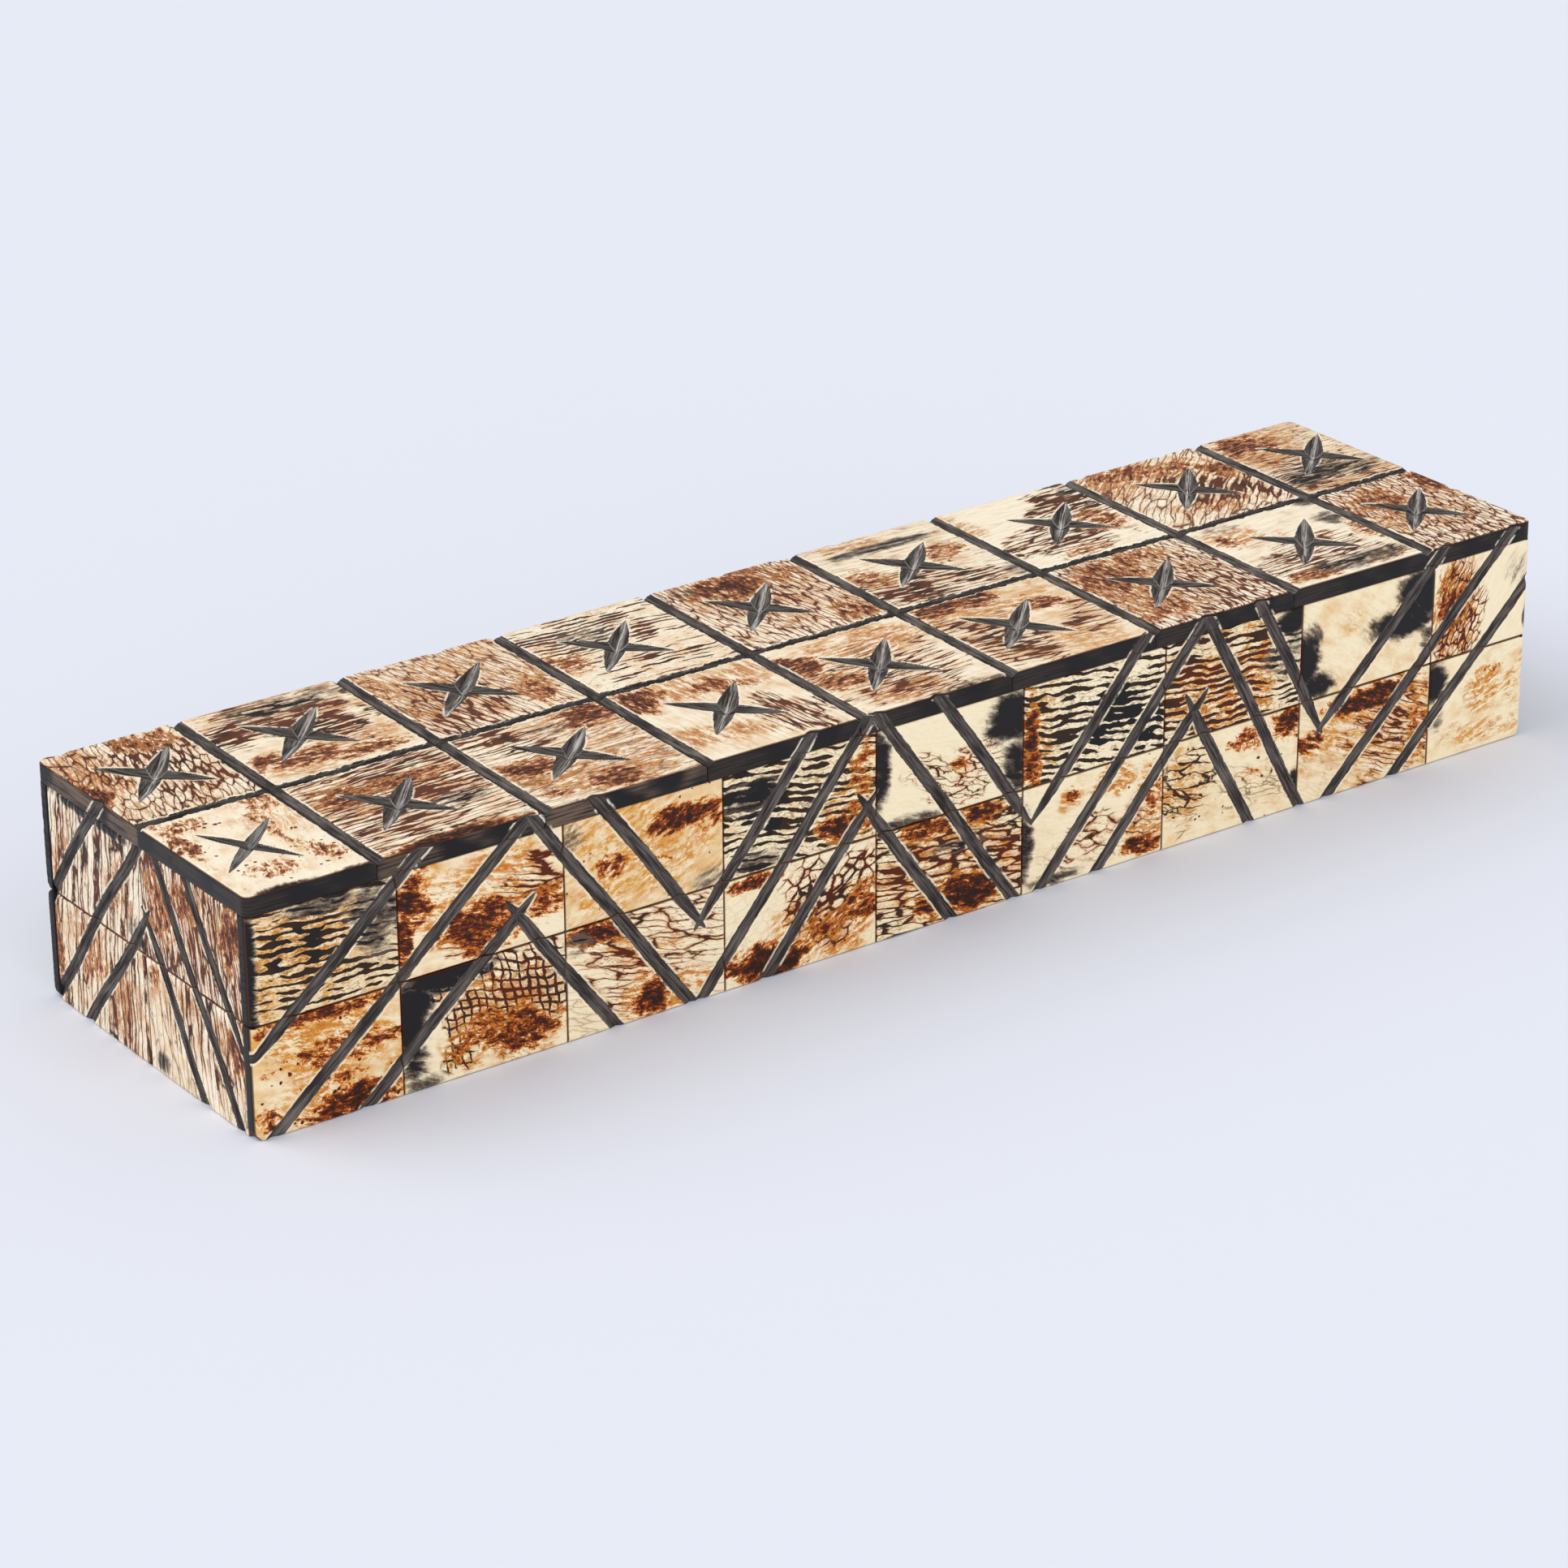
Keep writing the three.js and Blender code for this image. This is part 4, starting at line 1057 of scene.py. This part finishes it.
def make_side_tiles():
    halves = {"base": (0.0, BASE_TOP), "lid": (LID_BOTTOM, FACING_TOP)}
    for half, (low, high) in halves.items():
        for face in ("front", "back"):
            for column in range(COLUMNS):
                first, last = column == 0, column == COLUMNS - 1
                u0 = -LENGTH / 2 if first else side_joint(column) + TILE_JOINT / 2
                u1 = LENGTH / 2 if last else side_joint(column + 1) - TILE_JOINT / 2
                rounds = [CORNER_ROUND if first else JOINT_ROUND, CORNER_ROUND if last else JOINT_ROUND]
                rounds += [JOINT_ROUND if half == "lid" else EDGE_ROUND, JOINT_ROUND]
                corners = []
                if half == "base":
                    corners = [(side, -1, 2.0) for side, at_end in ((-1, first), (1, last)) if at_end]
                made = look_of(f"{face}_{half}_{column + 1}")
                made["dyed_edge"] = first or last
                seam, v0, v1 = 0, low, high
                if face == "back" and half == "base":
                    seam, v1 = 1, high - STOP_SLOPE * AXIS_INSET
                elif face == "back":
                    seam, v0 = -1, low + STOP_SLOPE * AXIS_INSET
                piece = build_tile(f"{face}_{half}_{column + 1}", face, (u0, u1, v0, v1), -TILE_THICKNESS,
                                   SIDE_CUTS[face], rounds, made, corners, seam=seam)
                node = f"front_{half}_tile_{column + 1}" if face == "front" else f"back_{half}_tiles"
                finish_tile(piece, half, "bone_tile", node)
        for face in ("left", "right"):
            near, far = TILE_JOINT / 2, END_HALF_SPAN
            for part, u0, u1 in (("back", -far, -near), ("front", near, far)):
                rounds = [JOINT_ROUND, JOINT_ROUND, JOINT_ROUND if half == "lid" else EDGE_ROUND, JOINT_ROUND]
                name = f"{face}_{half}_{part}"
                made = look_of(name)
                # The ends get the painted sheen too.
                made["polish"] = 1.0
                piece = build_tile(name, face, (u0, u1, low, high), -TILE_THICKNESS, SIDE_CUTS[face],
                                   rounds, made)
                node = f"left_{half}_tile_{part}" if face == "left" else f"right_{half}_tiles"
                finish_tile(piece, half, "bone_tile", node)


# ---------------------------------------------------------------- the hinges
class Skin:
    """Points and faces of one piece, built up from closed shells."""

    def __init__(self):
        self.points, self.faces = [], []

    def join(self, loops, closed=False):
        """Rings of points joined into a shell: its ends are capped, or joined to each other when closed."""
        count, base = len(loops[0]), len(self.points)
        for loop in loops:
            self.points.extend(loop)
        for k in range(len(loops) if closed else len(loops) - 1):
            a, b = base + k * count, base + (k + 1) % len(loops) * count
            self.faces.extend((a + i, a + (i + 1) % count, b + (i + 1) % count, b + i) for i in range(count))
        if not closed:
            self.faces.append(tuple(range(base, base + count)))
            self.faces.append(tuple(range(base + count * (len(loops) - 1), base + count * len(loops))))

    def turned(self, profile, closed):
        """A shape turned about the hinge axis, from its (place along X, radius) profile."""
        angles = [2 * math.pi * k / ROUND_SIDES for k in range(ROUND_SIDES)]
        y, z = HINGE_AXIS[1:]
        loops = [[(x, y + r * math.cos(a), z + r * math.sin(a)) for a in angles] for x, r in profile]
        self.join(loops, closed)

    def plate(self, outline_at, direction, levels, ease):
        """A flat piece with eased edges; outline_at gives its outline for an inset."""
        near, far = levels
        steps = [(near, ease), (near + ease, 0), (far - ease, 0), (far, ease)]
        loops = []
        for level, inset in steps:
            z = HINGE_AXIS[2] + direction * level
            loops.append([(x, y, z) for x, y in outline_at(inset)])
        self.join(loops)

    def piece(self, name, material):
        mesh = bpy.data.meshes.new(name)
        mesh.from_pydata([tuple(c * MM for c in point) for point in self.points], [], self.faces)
        shape = bmesh.new()
        shape.from_mesh(mesh)
        bmesh.ops.recalc_face_normals(shape, faces=shape.faces)
        shape.to_mesh(mesh)
        shape.free()
        mesh.polygons.foreach_set("use_smooth", np.ones(len(mesh.polygons), bool))
        mesh.set_sharp_from_angle(angle=math.radians(30))
        mesh.materials.append(material)
        return add_object(name, mesh)


def rounded_rectangle(x0, x1, y0, y1, radius):
    """Gives the outline for an inset."""
    def outline(inset):
        points, r = [], radius - inset
        centres = [(x1 - radius, y1 - radius), (x0 + radius, y1 - radius), (x0 + radius, y0 + radius),
                   (x1 - radius, y0 + radius)]
        for quarter, (cx, cy) in enumerate(centres):
            for k in range(5):
                angle = (quarter + k / 4) * math.pi / 2
                points.append((cx + r * math.cos(angle), cy + r * math.sin(angle)))
        return points
    return outline


def half_disc(x, y, upper):
    """One half of a slotted screw head; gives the outline for an inset."""
    def outline(inset):
        r, gap = SCREW_RADIUS - inset, SCREW_SLOT_HALF + inset / 2
        start = math.asin(gap / r)
        angles = [start + (math.pi - 2 * start) * k / 16 for k in range(17)]
        return [(x + r * math.cos(a), y + upper * r * math.sin(a)) for a in angles]
    return outline


def make_leaf(side, place, half, direction, knuckles, brass):
    leaf = Skin()
    edge = LEAF_FRONT + LEAF_WIDTH
    ends = place - HINGE_LENGTH / 2, place + HINGE_LENGTH / 2
    leaf.plate(rounded_rectangle(*ends, LEAF_FRONT, edge, 0.4), direction, LEAF_LEVELS, 0.08)
    length = (HINGE_LENGTH - (KNUCKLES - 1) * KNUCKLE_GAP) / KNUCKLES
    for knuckle in knuckles:
        low = ends[0] + knuckle * (length + KNUCKLE_GAP)
        high = low + length
        web = rounded_rectangle(low, high, edge - 0.5, HINGE_AXIS[1] - WEB_REACH, 0.1)
        leaf.plate(web, direction, LEAF_LEVELS, 0.05)
        ease, outer, bore = 0.15, KNUCKLE_RADIUS, BORE_RADIUS
        profile = [(low + ease, outer), (high - ease, outer), (high, outer - ease), (high, bore), (low, bore),
                   (low, outer - ease)]
        leaf.turned(profile, closed=True)
    for x in (place - SCREW_SPREAD, place + SCREW_SPREAD):
        for upper in (-1, 1):
            head = half_disc(x, LEAF_FRONT + LEAF_WIDTH / 2, upper)
            leaf.plate(head, direction, SCREW_LEVELS, 0.06)
    finish_tile(leaf.piece(f"hinge_{side}_{half}", brass), half, "brass", f"{side}_hinge_{half}_leaf")


def make_hinges():
    brass = brass_material()
    for side, place in (("left", -HINGE_PLACE), ("right", HINGE_PLACE)):
        make_leaf(side, place, "base", -1, (0, 2), brass)
        make_leaf(side, place, "lid", 1, (1,), brass)
        low, high = place - HINGE_LENGTH / 2, place + HINGE_LENGTH / 2
        pin = Skin()
        profile = [(low, 0.35), (low + 0.12, 0.65), (low + 0.35, PIN_RADIUS), (high - 0.35, PIN_RADIUS),
                   (high - 0.12, 0.65), (high, 0.35)]
        pin.turned(profile, closed=False)
        finish_tile(pin.piece(f"hinge_{side}_pin", brass), "base", "brass", f"{side}_hinge_pin")


# ---------------------------------------------------------------- carried-over CAD nodes
def dress_carcass():
    tone, dark = rgb(134, 80, 46), rgb(74, 38, 20)
    woods = [wood_material("wood_along", 0, tone, dark), wood_material("wood_across", 1, tone, dark)]
    for name, node in frame["nodes"].items():
        if "board" not in name and "panel" not in name:
            continue
        bevel = node.modifiers.new("eased_edges", "BEVEL")
        bevel.width, bevel.segments, bevel.limit_method = 0.0003, 2, "ANGLE"
        node.data.materials.clear()
        node.data.materials.append(woods[1] if name.endswith(("left_board", "right_board")) else woods[0])


# ---------------------------------------------------------------- stage, light and camera, in metres
FLOOR_SIZE = 12.0
FLOOR_TONE = rgb(229, 233, 245)


def make_stage():
    half = FLOOR_SIZE / 2
    mesh = bpy.data.meshes.new("floor")
    corners = [(-half, -half, 0), (half, -half, 0), (half, half, 0), (-half, half, 0)]
    mesh.from_pydata(corners, [], [(0, 1, 2, 3)])
    floor = add_object("floor", mesh)
    material, _, shader = new_material("pale_floor")
    shader.inputs["Base Color"].default_value = FLOOR_TONE
    shader.inputs["Roughness"].default_value = 0.85
    mesh.materials.append(material)


def broad_light(name, source, strength):
    """A large soft light, so far off that it falls evenly."""
    light = bpy.data.lights.new(name, "SUN")
    light.energy, light.angle = strength, math.radians(65)
    lamp = add_object(name, light)
    lamp.rotation_mode = "QUATERNION"
    lamp.rotation_quaternion = (-Vector(source)).to_track_quat("-Z", "Y")


def make_light():
    world = bpy.data.worlds.new("studio")
    bpy.context.scene.world = world
    world.use_nodes = True
    g = Graph(world.node_tree)
    background = world.node_tree.nodes["Background"]
    background.inputs["Color"].default_value = (1, 1, 1, 1)
    up = g.put("ShaderNodeSeparateXYZ", {0: g.put("ShaderNodeTexCoord").outputs["Generated"]}).outputs[2]
    g.tree.links.new(g.span(up, 0.0, 0.9, 0.26, 0.71), background.inputs["Strength"])
    broad_light("key", (-0.65, 0.4, 0.65), 1.25)
    broad_light("fill", (-0.2, -0.85, 0.45), 1.15)


CAMERA_PLACE = (-0.5474, -0.7427, 0.4242)
CAMERA_HEADING = 35.89  # degrees from +Y towards +X
CAMERA_DIP = 23.87
CAMERA_ROLL = -0.372
CAMERA_LENS = 117.65


def make_camera():
    data = bpy.data.cameras.new("camera")
    data.lens, data.sensor_width = CAMERA_LENS, 36.0
    camera = add_object("camera", data)
    heading, dip, roll = (math.radians(a) for a in (CAMERA_HEADING, CAMERA_DIP, CAMERA_ROLL))
    turn = Matrix.Rotation(-heading, 4, "Z") @ Matrix.Rotation(math.pi / 2 - dip, 4, "X")
    camera.matrix_world = Matrix.Translation(CAMERA_PLACE) @ turn @ Matrix.Rotation(roll, 4, "Z")
    bpy.context.scene.camera = camera


make_camera()
make_slabs()
make_side_tiles()
make_hinges()
dress_carcass()
make_stage()
make_light()
bpy.context.scene.view_settings.view_transform = "Standard"
